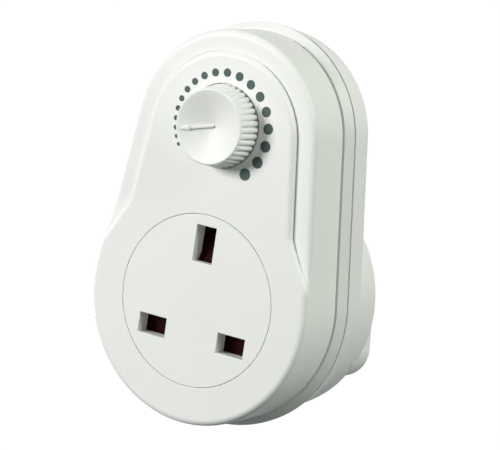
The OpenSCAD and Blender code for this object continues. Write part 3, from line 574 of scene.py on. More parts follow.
# Tongue in the gap, inwards of the bead, and its room behind the parting line
TONGUE_INSET = 1.3 * MM
TONGUE_ROOM = 0.04 * MM
# Row where the side bends in: its depth behind the parting line, and the share of the bead that is left
BEND_DEPTH = 4.4 * MM
BEND_SHARE = 0.55
BACK_STEPS = 8
# Drum: the cone that it grows from inside the head, and how far its side starts inside the head's
DRUM_CONE = 3 * MM
DRUM_SUNK = 0.1 * MM
DRUM_STEPS = 6
# Corner rounds of the plug base, as (half width, height, radius) in mm
BASE_CORNERS = ((19.7, -10.25, 7.45), (17.8, 4, 8), (0, 10, 14), (0, 0, 23.5))
BASE_POINTS = 96
# How far the plug base reaches into the drum, and the angle within which its faces are merged
BASE_ROOT = 3 * MM
FLAT_ANGLE = math.radians(0.2)
# Posts for the housing screws: their room at the parting line, and how far they end short of the back
POST_R = 3.6 * MM
POST_ROOM = 0.05 * MM
POST_SHY = 1.1 * MM
# Wells for the screws' heads, bores for their shanks, and the depths of the lower and the upper seats
WELL_R = 2.9 * MM
SHANK_R = 1.8 * MM
SHANK_POINTS = 32
LOW_SEAT = 26 * MM
HIGH_SEAT = 22 * MM
# Holes in the plug face, with the room round the pins and the fuse cover
HOLE_DEPTH = 6 * MM
PIN_ROOM = 0.15 * MM
COVER_ROOM = 0.6 * MM


def rear_rows(h):
    """Rows of the rear shell's outer form, from the parting line to the back of the head."""
    start = h.part_line + h.gap
    tongue = h.bead_out - TONGUE_INSET
    rows = [(tongue, h.part_line + TONGUE_ROOM), (tongue, start)]
    rows += [(h.bead_out - x * REAR_LIP, start + y * REAR_LIP) for x, y in REAR_RIM]
    rows.append((h.taper_mid + BEND_SHARE * (h.bead_out - h.taper_mid), h.part_line + BEND_DEPTH))
    r = h.back_fillet
    rows += arc((h.taper_mid - r, h.head_back - r), r, 0, -90, BACK_STEPS)
    return rows


def drum_rows(h):
    """(radius, depth) rows of the drum behind the head."""
    r = h.drum_fillet
    end = h.drum_r + h.taper_end
    rows = [
        (h.drum_r - DRUM_CONE, h.part_line + DRUM_CONE),
        (h.drum_r + h.taper_mid - DRUM_SUNK, h.head_back - h.back_fillet),
    ]
    rows += [(end + x, y) for x, y in arc((-r, h.drum_back - r), r, 0, -90, DRUM_STEPS)]
    return rows


def plug_base(grow, depth_0, depth_1):
    """The plug base: the convex form round its corner rounds, each made larger by an amount."""
    rounds = []
    for x, z, r in BASE_CORNERS:
        for side in (-1, 1) if x else (1,):
            rounds.append(bar(side * x * MM, DRUM_Z + z * MM, r * MM + grow, depth_0, depth_1, BASE_POINTS))
    base = joined(rounds, "plug_base")
    bpy.ops.object.mode_set(mode="EDIT")
    bpy.ops.mesh.select_all(action="SELECT")
    bpy.ops.mesh.convex_hull()
    bpy.ops.mesh.dissolve_limited(angle_limit=FLAT_ANGLE)
    bpy.ops.object.mode_set(mode="OBJECT")
    return base


def add_screw_posts(shell, h):
    """Posts for the housing screws, with their wells and bores."""
    posts = []
    wells = []
    shanks = []
    for x, z in screw_spots("housing_screws"):
        low = z < DRUM_Z
        back = PLUG_DEPTH if low else h.head_back
        seat = LOW_SEAT if low else HIGH_SEAT
        posts.append(bar(x, z, POST_R, h.part_line + POST_ROOM, back - POST_SHY))
        wells.append(bar(x, z, WELL_R, seat, PLUG_DEPTH + CUT))
        shanks.append(bar(x, z, SHANK_R, h.part_line - CUT, seat + CUT, SHANK_POINTS))
    carve(shell, joined(posts, "posts"), "UNION")
    carve(shell, joined(wells, "wells"))
    carve(shell, joined(shanks, "shanks"))


def cut_plug_holes(shell):
    """Holes in the plug face for the pins and the fuse cover."""
    s = sizes("socket")
    p = sizes("plug")
    holes = [(side * s.pitch / 2, 0, p.pin_w + PIN_ROOM, p.pin_h + PIN_ROOM) for side in (-1, 1)]
    holes.append((0, s.rise, p.earth_w + PIN_ROOM, p.earth_h + PIN_ROOM))
    holes.append((0, COVER_Z, COVER_W + COVER_ROOM, COVER_H + COVER_ROOM))
    cuts = [box(*hole, PLUG_DEPTH - HOLE_DEPTH, PLUG_DEPTH + CUT) for hole in holes]
    carve(shell, joined(cuts, "cuts"))


class DIMMER_OT_rear_shell(bpy.types.Operator):
    """Models the rear half of the housing, with the drum and the plug base behind it"""
    bl_idname = "dimmer.rear_shell"
    bl_label = "Rear shell"

    def execute(self, context):
        h = sizes("housing")
        outline = Outline(h)
        shell = loft("rear_shell_skin", OUTLINE_POINTS, rear_rows(h), outline.place)
        carve(shell, turned("drum", ROUND_POINTS, drum_rows(h), DRUM_Z), "UNION")
        base = plug_base(0, h.drum_back - BASE_ROOT, PLUG_DEPTH)
        bevel_edges(base, lambda co: abs(co.y - PLUG_Y) < NEAR, h.base_fillet, segments=5)
        carve(shell, base, "UNION")
        # Hollow inside
        inner = [(-h.rear_wall, h.part_line - CUT), (-h.rear_wall, h.head_back - h.wall)]
        carve(shell, loft("hollow", OUTLINE_POINTS, inner, outline.place))
        drum_in = h.drum_r - h.drum_wall
        carve(shell, bar(0, DRUM_Z, drum_in, h.part_line - CUT, h.drum_back - h.wall, ROUND_POINTS))
        carve(shell, plug_base(-h.wall, h.drum_back - h.wall - CUT, PLUG_DEPTH - h.face_wall))
        add_screw_posts(shell, h)
        cut_plug_holes(shell)
        smooth(shell)
        finish_piece(shell, "housing", "body_plastic", "rear_shell")
        return {"FINISHED"}


# Socket

# The flange's room behind the front wall, and a depth that clears the insert
FLANGE_ROOM = 0.05 * MM
INSERT_DEPTH = 6 * MM
# Room below the shutter's ramp at the end of its slide, and what the apertures keep from the insert's rim
RAMP_ROOM = 1 * MM
RIM_MARGIN = 1 * MM
RIM_STEPS = 3
# Points round the spring's wire and steps in each turn
WIRE_POINTS = 12
COIL_STEPS = 24


class DIMMER_OT_socket_insert(bpy.types.Operator):
    """Models the round insert with its three apertures"""
    bl_idname = "dimmer.socket_insert"
    bl_label = "Socket insert"

    def execute(self, context):
        s = sizes("socket")
        e = s.edge
        seat = sizes("housing").wall + FLANGE_ROOM
        rows = [(FLANGE_R, INSERT_T), (FLANGE_R, seat), (s.insert_r, seat)]
        rows += [(s.insert_r + x, y) for x, y in arc((-e, e), e, 0, 90, RIM_STEPS)]
        insert = turned("socket_insert_plate", ROUND_POINTS, rows, DRUM_Z)
        holes = [(side * s.pitch / 2, 0, s.slot_w, s.slot_h) for side in (-1, 1)]
        holes.append((0, s.rise, s.earth_w, s.earth_h))
        apertures = [box(*hole, -CUT, INSERT_DEPTH) for hole in holes]
        carve(insert, joined(apertures, "apertures"))
        # Relief behind the skin, in which the shutter's ramp slides
        top = s.rise + s.earth_h / 2
        foot = s.rise - s.earth_h / 2 - s.travel - RAMP_ROOM
        carve(insert, box(0, (top + foot) / 2, s.earth_w, top - foot, s.skin, INSERT_DEPTH))
        inside = s.insert_r - RIM_MARGIN
        bevel_edges(insert, lambda co: abs(co.y - FRONT_Y) < NEAR
                    and math.hypot(co.x, co.z - DRUM_Z) < inside, s.lip, segments=2)
        smooth(insert)
        finish_piece(insert, "housing", "socket_plastic", "socket_insert")
        return {"FINISHED"}


class DIMMER_OT_shutter_spring(bpy.types.Operator):
    """Winds the shutter's return spring as one fixed coil; the real spring flattens as the shutter slides
    down
    """
    bl_idname = "dimmer.shutter_spring"
    bl_label = "Shutter spring"

    def execute(self, context):
        s = sizes("socket")
        low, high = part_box("shutter_spring")
        middle = (low + high) / 2
        height = high.z - low.z
        coil_r = (high.x - low.x) / 2 - s.wire_r
        deselect()
        bpy.ops.mesh.primitive_circle_add(vertices=WIRE_POINTS, radius=s.wire_r, location=(coil_r, 0, 0),
                                          rotation=(math.pi / 2, 0, 0))
        coil = added("shutter_spring_coil")
        bpy.ops.object.transform_apply(location=True, rotation=True, scale=True)
        bpy.ops.object.modifier_add(type="SCREW")
        wind = coil.modifiers[-1]
        wind.angle = TAU * s.turns
        wind.screw_offset = height - 2 * s.wire_r
        wind.steps = COIL_STEPS * s.turns
        wind.render_steps = wind.steps
        bpy.ops.object.modifier_apply(modifier=wind.name)
        bpy.ops.object.mode_set(mode="EDIT")
        bpy.ops.mesh.select_all(action="SELECT")
        bpy.ops.mesh.fill_holes(sides=0)
        bpy.ops.mesh.normals_make_consistent(inside=False)
        bpy.ops.object.mode_set(mode="OBJECT")
        coil.data.transform(Matrix.Translation((middle.x, middle.y, low.z + s.wire_r)))
        smooth(coil, WIDE_SMOOTH)
        finish_piece(coil, "housing", "spring_steel", "shutter_spring")
        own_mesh(coil)
        return {"FINISHED"}


# Knob and scale

# Points round each flute, and how the flutes run out: (share of the way to the rim, share of their depth)
FLUTE_POINTS = 8
FLUTE_FADE = ((0.2, 0.88), (0.45, 0.74), (0.65, 0.64), (0.78, 0.57), (0.87, 0.5), (0.94, 0.36), (1, 0.16))
# Round along the knob's foot, as (inwards, forwards) points in mm
KNOB_FOOT = ((0.16, 0.0), (0.04, 0.05), (0.0, 0.17))
# Round along the rim, which ends past its crest, and rows of the dished face as shares of the way inwards
RIM_END_DEG = 105
KNOB_RIM_STEPS = 6
DISH_ROWS = (0.1, 0.5, 0.95)
# Inside of the knob: its fit on the shaft, the walls of hub and skirt, and the floors over shaft and hollow
SHAFT_FIT = 0.02 * MM
HUB_WALL = 2 * MM
SKIRT_WALL = 1.7 * MM
SHAFT_FLOOR = 0.9 * MM
HOLLOW_FLOOR = 1.2 * MM
# Pointer: how far inside the rim its tip and its neck end, its thickness, its widths, its tip's share of the
# head's width, its edge, and how deep it is sunk
TIP_INSET = 0.9 * MM
NECK_INSET = 3.1 * MM
POINTER_T = 0.5 * MM
POINTER_NECK_W = 0.56 * MM
POINTER_HEAD_W = 1.2 * MM
TIP_SHARE = 0.18
POINTER_EDGE = 0.12 * MM
POINTER_SUNK = 0.12 * MM
# Dots: points round one, the share of the ink that is rounded, and the print's place beside the knob's axis
DOT_POINTS = 40
INK_ROUND = 0.4
PRINT_X = -0.1 * MM
PRINT_Z = -0.2 * MM


def between(start, end, share):
    """The point at a share of the way from one (radius, depth) to another."""
    return start[0] + (end[0] - start[0]) * share, start[1] + (end[1] - start[1]) * share


def knob_rows(k, floor, rim):
    """(radius, depth, share of the flutes' depth) rows, from the bore round the skirt to the dish."""
    base = -k.lift
    fillet = k.rim_fillet
    bore_r = SHAFT_R + SHAFT_FIT
    hub_r = SHAFT_R + HUB_WALL
    rows = [
        (bore_r, floor + SHAFT_FLOOR, 0),
        (bore_r, base, 0),
        (hub_r, base, 0),
        (hub_r, floor + HOLLOW_FLOOR, 0),
        (k.rim_r - SKIRT_WALL, floor + HOLLOW_FLOOR, 0),
        (k.base_r - SKIRT_WALL, base, 0),
    ]
    rows += [(k.base_r - x * MM, base - y * MM, 1) for x, y in KNOB_FOOT]
    start = rows[-1]
    end = (k.rim_r, rim + fillet)
    rows += [(*between(start, end, share), depth) for share, depth in FLUTE_FADE]
    edge = arc((k.rim_r - fillet, rim + fillet), fillet, 0, RIM_END_DEG, KNOB_RIM_STEPS)
    rows += [(x, y, 0) for x, y in edge[1:]]
    lip = rows[-1]
    for share in DISH_ROWS:
        depth = lip[1] + (floor - lip[1]) * share / DISH_ROWS[-1]
        rows.append((lip[0] * (1 - share), depth, 0))
    return rows


class DIMMER_OT_knob(bpy.types.Operator):
    """Models the fluted knob with its dished face and raised pointer"""
    bl_idname = "dimmer.knob"
    bl_label = "Knob"

    def execute(self, context):
        k = sizes("knob")
        rim = -k.rim_h
        floor = rim + k.dish

        def place(row, turn):
            lobe = 2 * abs(turn * k.flutes % 1.0 - 0.5)
            groove = 1 - math.sqrt(max(1 - lobe * lobe, 0.0))
            radius = row[0] - k.flute_depth * row[2] * groove
            return spot(radius * math.cos(TAU * turn), row[1], KNOB_Z + radius * math.sin(TAU * turn))

        form = loft("knob_form", k.flutes * FLUTE_POINTS, knob_rows(k, floor, rim), place)
        knob = joined([form, pointer(k, floor, rim)], "knob_form")
        smooth(knob, WIDE_SMOOTH)
        finish_piece(knob, "knob_set", "knob_plastic", "knob")
        return {"FINISHED"}


def pointer(k, floor, rim):
    """The raised pointer on the dished face: a thin bar with a slender head."""
    reach = k.rim_r - TIP_INSET
    neck_end = k.rim_r - NECK_INSET
    middle = (neck_end + reach) / 2
    rise = math.atan2(floor - rim, reach)
    shaft = block("pointer_shaft", (neck_end / 2, 0, 0), (neck_end, POINTER_T, POINTER_NECK_W))
    head = block("pointer_head", (middle, 0, 0), (reach - neck_end, POINTER_T, POINTER_HEAD_W))
    bpy.ops.object.mode_set(mode="EDIT")
    mesh = bmesh.from_edit_mesh(head.data)
    for vert in mesh.verts:
        vert.select_set(vert.co.x > middle)
    mesh.select_flush(True)
    bmesh.update_edit_mesh(head.data)
    bpy.ops.transform.resize(value=(1, 1, TIP_SHARE))
    bpy.ops.object.mode_set(mode="OBJECT")
    arrow = joined([shaft, head], "pointer")
    bevel_edges(arrow, lambda co: co.y < NEAR - POINTER_T / 2, POINTER_EDGE, segments=2)
    turn = Matrix.Translation(spot(0, floor - POINTER_SUNK, KNOB_Z))
    turn = turn @ Matrix.Rotation(-k.pointer_angle, 4, "Y") @ Matrix.Rotation(-rise, 4, "Z")
    arrow.data.transform(turn)
    return arrow


class DIMMER_OT_scale_dots(bpy.types.Operator):
    """Lays out the printed dots that grow round the knob"""
    bl_idname = "dimmer.scale_dots"
    bl_label = "Scale dots"

    def execute(self, context):
        k = sizes("knob")
        steps = k.dots - 1
        grow = 2 * (k.dot_first - k.dot_last - steps * k.dot_step) / (steps * (steps - 1))
        rim = INK_ROUND * k.dot_t
        dots = []
        for index in range(k.dots):
            radius = (k.dot_min + (k.dot_max - k.dot_min) * index / steps) / 2
            angle = k.dot_first - index * k.dot_step - grow * index * (index - 1) / 2
            rows = [(radius, 0), (radius, rim - k.dot_t), (radius - rim, -k.dot_t)]
            x = PRINT_X + k.dot_ring_r * math.cos(angle)
            z = KNOB_Z + PRINT_Z + k.dot_ring_r * math.sin(angle)
            dots.append(moved(turned("dot", DOT_POINTS, rows, z), x))
        scale = joined(dots, "scale_dots_ink")
        smooth(scale)
        finish_piece(scale, "housing", "dot_ink", "scale_dots")
        return {"FINISHED"}


# Plug

# Pins inside the plug face: where one starts, the depths between which its wider head lies, how much wider
# that is, and the sleeves' room round a neck
PIN_ROOT = 4.5 * MM
HEAD_BACK = 5 * MM
HEAD_FRONT = 3.02 * MM
HEAD_WIDER = 2 * MM
SLEEVE_ROOM = 0.02 * MM
# Fuse carrier: its cover, and the cradle that holds the fuse behind it
COVER_T = 2 * MM
COVER_EDGE = 0.5 * MM
CRADLE_W = 9 * MM
CRADLE_INSET = 1 * MM
CRADLE_END = 1.5 * MM
# Bore for the fuse, room for its end caps, and the finger slot along the cover's upper edge
BORE_ROOM = 0.05 * MM
BORE_L = 40 * MM
BORE_POINTS = 64
CAP_X = 9.7 * MM
CAP_W = 7 * MM
CAP_BACK = 3 * MM
CAP_FRONT = 1.4 * MM
FINGER_W = 6 * MM
FINGER_H = 2.4 * MM
FINGER_DEPTH = 0.9 * MM


def neck(x, wall):
    """A lower pin's neck inside a sleeve of some thickness, longer than the sleeve at both ends."""
    p = sizes("plug")
    w = p.pin_w - 2 * wall
    h = p.pin_h - 2 * wall
    return box(x, 0, w, h, PLUG_DEPTH - CUT, PLUG_DEPTH + p.sleeve_l + CUT)


def pin_bar(name, x, z, w, h, reach, sleeved):
    """A plug pin: a bar with a bevelled tip, rounded edges and a head inside the plug face."""
    p = sizes("plug")
    pin = box(x, z, w, h, PLUG_DEPTH - PIN_ROOT, PLUG_DEPTH + reach, name)
    bevel_edges(pin, lambda co: co.y > PLUG_Y + reach - NEAR, p.tip, segments=4)
    bevel_edges(pin, lambda co: co.y < PLUG_Y + reach - p.tip, p.edge, segments=3)
    if sleeved:
        ring = box(x, z, w + CUT, h + CUT, PLUG_DEPTH, PLUG_DEPTH + p.sleeve_l)
        carve(ring, neck(x, p.sleeve_t))
        carve(pin, ring)
    head = box(x, z, w + HEAD_WIDER, h + HEAD_WIDER, PLUG_DEPTH - HEAD_BACK, PLUG_DEPTH - HEAD_FRONT)
    carve(pin, head, "UNION")
    return pin


class DIMMER_OT_pins(bpy.types.Operator):
    """Models the three plug pins and the sleeves on the lower two"""
    bl_idname = "dimmer.pins"
    bl_label = "Plug pins"

    def execute(self, context):
        p = sizes("plug")
        s = sizes("socket")
        half = s.pitch / 2
        pins = (
            ("line_pin", half, 0, p.pin_w, p.pin_h, p.pin_l, True),
            ("neutral_pin", -half, 0, p.pin_w, p.pin_h, p.pin_l, True),
            ("earth_pin", 0, s.rise, p.earth_w, p.earth_h, p.earth_l, False),
        )
        for name, *shape in pins:
            pin = pin_bar(name + "_bar", *shape)
            smooth(pin)
            finish_piece(pin, "housing", "brass", name)
        sleeves = []
        for x in (half, -half):
            sleeve = box(x, 0, p.pin_w, p.pin_h, PLUG_DEPTH, PLUG_DEPTH + p.sleeve_l)
            bevel_edges(sleeve, lambda co: True, p.edge, segments=3)
            carve(sleeve, neck(x, p.sleeve_t - SLEEVE_ROOM))
            sleeves.append(sleeve)
        pair = joined(sleeves, "pin_sleeve_pair")
        smooth(pair)
        finish_piece(pair, "housing", "sleeve_plastic", "pin_sleeves")
        return {"FINISHED"}


class DIMMER_OT_fuse_cover(bpy.types.Operator):
    """Models the pull-out fuse carrier with its rounded cover and finger slot"""
    bl_idname = "dimmer.fuse_cover"
    bl_label = "Fuse cover"

    def execute(self, context):
        end = PLUG_DEPTH
        cover = box(0, COVER_Z, COVER_W, COVER_H, end - COVER_T, end, "fuse_carrier_form")
        bevel_edges(cover, lambda co: co.y > PLUG_Y - NEAR, COVER_EDGE, segments=4)
        cradle_h = COVER_H - CRADLE_INSET
        cradle = box(0, COVER_Z, CRADLE_W, cradle_h, COVER_LOW.y - FRONT_Y, end - CRADLE_END)
        carve(cover, cradle, "UNION")
        fuse_low, fuse_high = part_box("fuse_body")
        middle = (fuse_low + fuse_high) / 2
        bore_r = (fuse_high.z - fuse_low.z) / 2 + BORE_ROOM
        deselect()
        bpy.ops.mesh.primitive_cylinder_add(vertices=BORE_POINTS, radius=bore_r, depth=BORE_L,
                                            location=middle, rotation=(0, math.pi / 2, 0))
        bore = added("bore")
        bpy.ops.object.transform_apply(location=True, rotation=True, scale=True)
        carve(cover, bore)
        caps_low, caps_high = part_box("fuse_end_caps")
        cap_h = caps_high.z - caps_low.z
        for side in (-1, 1):
            carve(cover, box(side * CAP_X, COVER_Z, CAP_W, cap_h, end - CAP_BACK, end - CAP_FRONT))
        carve(cover, box(0, COVER_HIGH.z, FINGER_W, FINGER_H, end - FINGER_DEPTH, end + CUT))
        smooth(cover)
        finish_piece(cover, "fuse_set", "body_plastic", "fuse_carrier")
        return {"FINISHED"}


# Finishes

# Sizes of the patterns, and how far the streaks run along the depth
MOTTLE_SIZE = 12 * MM
GRAIN_SIZE = 0.4 * MM
STREAK_SIZE = 0.3 * MM
STREAK_STRETCH = (1.0, 0.06, 1.0)
# What a surface group's inputs are until a finish sets them
PALE = (0.8, 0.8, 0.8, 1)
SEMI_GLOSS = (0.3, 0.4)
# Values between which a noise mostly lies
NOISE_LOW = 0.3
NOISE_HIGH = 0.7
# A Mix node's colour sockets share their names with its other kinds, so they are picked by place
MIX_FACTOR, MIX_FIRST, MIX_SECOND, MIX_RESULT = 0, 6, 7, 2
# Darker tone of a plain finish as a share of its colour, the grain's height, and the streaks' relief
PLASTIC_SHADE = 0.85
METAL_SHADE = 0.95
GRAIN_HEIGHT = 0.1 * MM
STREAK_RELIEF = (0.015, 0.03 * MM)


def new_group(name, inputs, outputs):
    """An empty shader group with named sockets."""
    group = bpy.data.node_groups.new(name, "ShaderNodeTree")
    for label, kind, value in inputs:
        socket = group.interface.new_socket(name=label, in_out="INPUT", socket_type=kind)
        socket.default_value = value
    for label, kind in outputs:
        group.interface.new_socket(name=label, in_out="OUTPUT", socket_type=kind)
    return group


def add(tree, kind, **settings):
    """A node with its settings."""
    node = tree.nodes.new(kind)
    for key, value in settings.items():
        setattr(node, key, value)
    return node


def scale_of(tree, size):
    """A texture's scale from the real size of its features."""
    node = add(tree, "ShaderNodeMath", operation="DIVIDE")
    node.inputs[0].default_value = 1.0
    tree.links.new(size, node.inputs[1])
    return node.outputs[0]


def mapped(tree, source, low, high):
    """A noise spread between two sockets' values."""
    node = add(tree, "ShaderNodeMapRange")
    tree.links.new(source, node.inputs["Value"])
    node.inputs["From Min"].default_value = NOISE_LOW
    node.inputs["From Max"].default_value = NOISE_HIGH
    tree.links.new(low, node.inputs["To Min"])
    tree.links.new(high, node.inputs["To Max"])
    return node.outputs["Result"]


def noise(tree, vector, scale, detail=3.0):
    """A noise at a scale that another socket gives."""
    node = add(tree, "ShaderNodeTexNoise")
    tree.links.new(vector, node.inputs["Vector"])
    tree.links.new(scale, node.inputs["Scale"])
    node.inputs["Detail"].default_value = detail
    return node.outputs["Fac"]


def two_tone(tree, factor, first, second):
    """Two colours mixed by a factor."""
    node = add(tree, "ShaderNodeMix", data_type="RGBA")
    tree.links.new(factor, node.inputs[MIX_FACTOR])
    tree.links.new(first, node.inputs[MIX_FIRST])
    tree.links.new(second, node.inputs[MIX_SECOND])
    return node.outputs[MIX_RESULT]


def surface_group(name, pattern_sizes):
    """A surface group with its sockets, where each pattern has a size. Returns it and its inputs."""
    inputs = [
        ("Tone", "NodeSocketColor", PALE),
        ("Shade", "NodeSocketColor", PALE),
        *((label, "NodeSocketFloat", size) for label, size in pattern_sizes.items()),
        ("Gloss Low", "NodeSocketFloat", SEMI_GLOSS[0]),
        ("Gloss High", "NodeSocketFloat", SEMI_GLOSS[1]),
    ]
    outputs = [
        ("Color", "NodeSocketColor"),
        ("Roughness", "NodeSocketFloat"),
        ("Height", "NodeSocketFloat"),
    ]
    group = new_group(name, inputs, outputs)
    return group, add(group, "NodeGroupInput").outputs


def end_group(group, given, tint, relief):
    """Ends a surface group: a tint mixes its tones, and a relief gives its height and its gloss."""
    out = add(group, "NodeGroupOutput")
    tone = two_tone(group, tint, given["Tone"], given["Shade"])
    gloss = mapped(group, relief, given["Gloss Low"], given["Gloss High"])
    group.links.new(tone, out.inputs["Color"])
    group.links.new(gloss, out.inputs["Roughness"])
    group.links.new(relief, out.inputs["Height"])


def grain_group():
    """Moulded surface: a soft mottle in the colour, and a fine grain in gloss and height."""
    group, given = surface_group("moulded_grain", {"Mottle Size": MOTTLE_SIZE, "Grain Size": GRAIN_SIZE})
    place = add(group, "ShaderNodeTexCoord").outputs["Object"]
    mottle = noise(group, place, scale_of(group, given["Mottle Size"]))
    grain = noise(group, place, scale_of(group, given["Grain Size"]), detail=2.0)
    end_group(group, given, mottle, grain)
    return group


def streak_group():
    """Drawn metal: streaks along the depth in colour, gloss and height."""
    group, given = surface_group("drawn_streaks", {"Streak Size": STREAK_SIZE})
    stretch = add(group, "ShaderNodeMapping")
    stretch.inputs["Scale"].default_value = STREAK_STRETCH
    group.links.new(add(group, "ShaderNodeTexCoord").outputs["Object"], stretch.inputs["Vector"])
    streak = noise(group, stretch.outputs["Vector"], scale_of(group, given["Streak Size"]))
    end_group(group, given, streak, streak)
    return group


def finish(slot, group, tone, shade, gloss, relief, specular=0.5, metallic=0.0):
    """A slot's material: a surface group on a Principled shader, with a (strength, height) relief."""
    material = bpy.data.materials.new(look_name(slot))
    material.use_nodes = True
    tree = material.node_tree
    shader = tree.nodes["Principled BSDF"]
    shader.inputs["Specular IOR Level"].default_value = specular
    shader.inputs["Metallic"].default_value = metallic
    surface = add(tree, "ShaderNodeGroup", node_tree=group)
    surface.inputs["Tone"].default_value = (*tone, 1)
    surface.inputs["Shade"].default_value = (*shade, 1)
    surface.inputs["Gloss Low"].default_value = gloss[0]
    surface.inputs["Gloss High"].default_value = gloss[1]
    bump = add(tree, "ShaderNodeBump")
    bump.inputs["Strength"].default_value = relief[0]
    bump.inputs["Distance"].default_value = relief[1]
    tree.links.new(surface.outputs["Color"], shader.inputs["Base Color"])
    tree.links.new(surface.outputs["Roughness"], shader.inputs["Roughness"])
    tree.links.new(surface.outputs["Height"], bump.inputs["Height"])
    tree.links.new(bump.outputs["Normal"], shader.inputs["Normal"])


def shade_of(tone, share):
    """A colour made darker or lighter."""
    return tuple(c * share for c in tone)


# Slots of plain plastics: colour, gloss from and to, strength of the grain
PLASTICS = {
    "inner_plastic": ((0.62, 0.58, 0.45), (0.45, 0.6), 0.02),
    "sleeve_plastic": ((0.02, 0.02, 0.022), (0.42, 0.55), 0.03),
    "fuse_ceramic": ((0.72, 0.66, 0.52), (0.6, 0.75), 0.03),
    "pot_case": ((0.02, 0.022, 0.027), (0.4, 0.55), 0.02),
    "track_laminate": ((0.1, 0.045, 0.02), (0.5, 0.65), 0.02),
    "chip_resin": ((0.012, 0.012, 0.013), (0.45, 0.6), 0.03),
    "ferrite": ((0.03, 0.03, 0.032), (0.55, 0.75), 0.05),
    "film_box": ((0.7, 0.42, 0.02), (0.25, 0.38), 0.01),
    "timing_dip": ((0.24, 0.03, 0.015), (0.15, 0.28), 0.01),
    "resistor_lacquer": ((0.48, 0.3, 0.13), (0.25, 0.4), 0.01),
    "diac_glass": ((0.45, 0.09, 0.02), (0.08, 0.18), 0.005),
    "brown_insulation": ((0.1, 0.035, 0.015), (0.4, 0.55), 0.02),
    "blue_insulation": ((0.015, 0.05, 0.28), (0.4, 0.55), 0.02),
    "board_laminate": ((0.012, 0.075, 0.02), (0.3, 0.45), 0.02),
}
# Slots of plain metals: colour, gloss from and to
METALS = {
    "spring_steel": ((0.55, 0.55, 0.56), (0.22, 0.38)),
    "nickel": ((0.66, 0.64, 0.6), (0.14, 0.28)),
    "sink_aluminium": ((0.62, 0.63, 0.64), (0.3, 0.45)),
    "screw_steel": ((0.58, 0.58, 0.56), (0.2, 0.36)),
    "winding_copper": ((0.55, 0.19, 0.07), (0.2, 0.34)),
}


class DIMMER_OT_finishes(bpy.types.Operator):
    """Makes every slot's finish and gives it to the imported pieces"""
    bl_idname = "dimmer.finishes"
    bl_label = "Finishes"

    def execute(self, context):
        f = sizes("finish")
        grain = grain_group()
        streaks = streak_group()
        finish("body_plastic", grain, f.body, f.body_shade, gloss=(0.34, 0.44), relief=(0.06, 0.12 * MM),
               specular=0.4)
        finish("socket_plastic", grain, f.body, f.body_shade, gloss=(0.38, 0.48),
               relief=(0.05, GRAIN_HEIGHT), specular=0.4)
        finish("knob_plastic", grain, f.knob, shade_of(f.knob, share=0.975), gloss=(0.42, 0.52),
               relief=(0.03, GRAIN_HEIGHT), specular=0.35)
        # Shutter: its own dark red, made darker as painted shade, so that the apertures' insides look
        # shadowed
        finish("shutter_plastic", grain, f.shutter, shade_of(f.shutter, share=0.8), gloss=(0.5, 0.65),
               relief=(0.05, GRAIN_HEIGHT), specular=0.04)
        finish("dot_ink", grain, f.ink, shade_of(f.ink, share=1.25), gloss=(0.5, 0.65),
               relief=(0.04, 0.05 * MM), specular=0.25)
        for slot, (tone, gloss, strength) in PLASTICS.items():
            finish(slot, grain, tone, shade_of(tone, PLASTIC_SHADE), gloss, (strength, GRAIN_HEIGHT))
        metals = {"brass": (f.brass, (0.2, 0.28)), **METALS}
        for slot, (tone, gloss) in metals.items():
            finish(slot, streaks, tone, shade_of(tone, METAL_SHADE), gloss, STREAK_RELIEF, metallic=1.0)
        for part in frame["record"]["subparts"]:
            node = frame["nodes"][part["node"]]
            node.data.materials.clear()
            node.data.materials.append(bpy.data.materials[look_name(part["material_slot"])])
        return {"FINISHED"}


# Stage

AZIMUTH = math.radians(30.088)
ELEVATION = math.radians(9.603)
ROLL = math.radians(8.67)
DISTANCE = 713.595 * MM
AIM = Vector((6.31, -31.92, 27.74)) * MM
LENS_MM = 216.0
SENSOR_MM = 36.0
CLIP = (0.01, 100.0)
# Lamps: place along the camera's right, up and back in metres, width in metres, power in watts, tint
LAMPS = {
    "key": ((-1.0, 0.36, 0.5), 0.36, 12.8, (1.0, 1.0, 0.995)),
    "fill": ((0.79, 0.45, 0.58), 0.6, 8.5, (0.965, 1.0, 0.92)),
    "back": ((-0.4, 0.08, -1.05), 0.6, 9.5, (1.0, 1.0, 1.0)),
}
# Light from all round
DOME_TINT = (0.935, 1.0, 0.965, 1)
DOME_STRENGTH = 0.16
WHITE = (1, 1, 1, 1)
# Floor, in metres, with the tone that the lamps fall on
FLOOR_DROP = 0.26
FLOOR_SIZE = 60
FLOOR_TONE = (0.07, 0.09, 0.083, 1)
FLOOR_ROUGHNESS = 0.9
# White that the floor shows instead: its strength, and its share towards the camera and in gloss
FLOOR_WHITE = 1.24
CAMERA_SHARE = 0.8
GLOSS_SHARE = 0.4


def camera_axes():
    """The camera's right, up and back directions."""
    back = Vector((math.sin(AZIMUTH) * math.cos(ELEVATION), -math.cos(AZIMUTH) * math.cos(ELEVATION),
                   math.sin(ELEVATION)))
    right = Vector((math.cos(AZIMUTH), math.sin(AZIMUTH), 0))
    up = back.cross(right)
    tilted = math.cos(ROLL) * right + math.sin(ROLL) * up
    return tilted, back.cross(tilted), back


def add_camera():
    """The camera that takes the photo's view."""
    right, up, back = camera_axes()
    camera = bpy.data.cameras.new("photo_view")
    camera.lens = LENS_MM
    camera.sensor_width = SENSOR_MM
    camera.sensor_fit = "HORIZONTAL"
    camera.clip_start, camera.clip_end = CLIP
    holder = bpy.data.objects.new("photo_view", camera)
    bpy.context.scene.collection.objects.link(holder)
    place = AIM + DISTANCE * back
    holder.matrix_world = Matrix((
        (right.x, up.x, back.x, place.x),
        (right.y, up.y, back.y, place.y),
        (right.z, up.z, back.z, place.z),
        (0, 0, 0, 1),
    ))
    bpy.context.scene.camera = holder


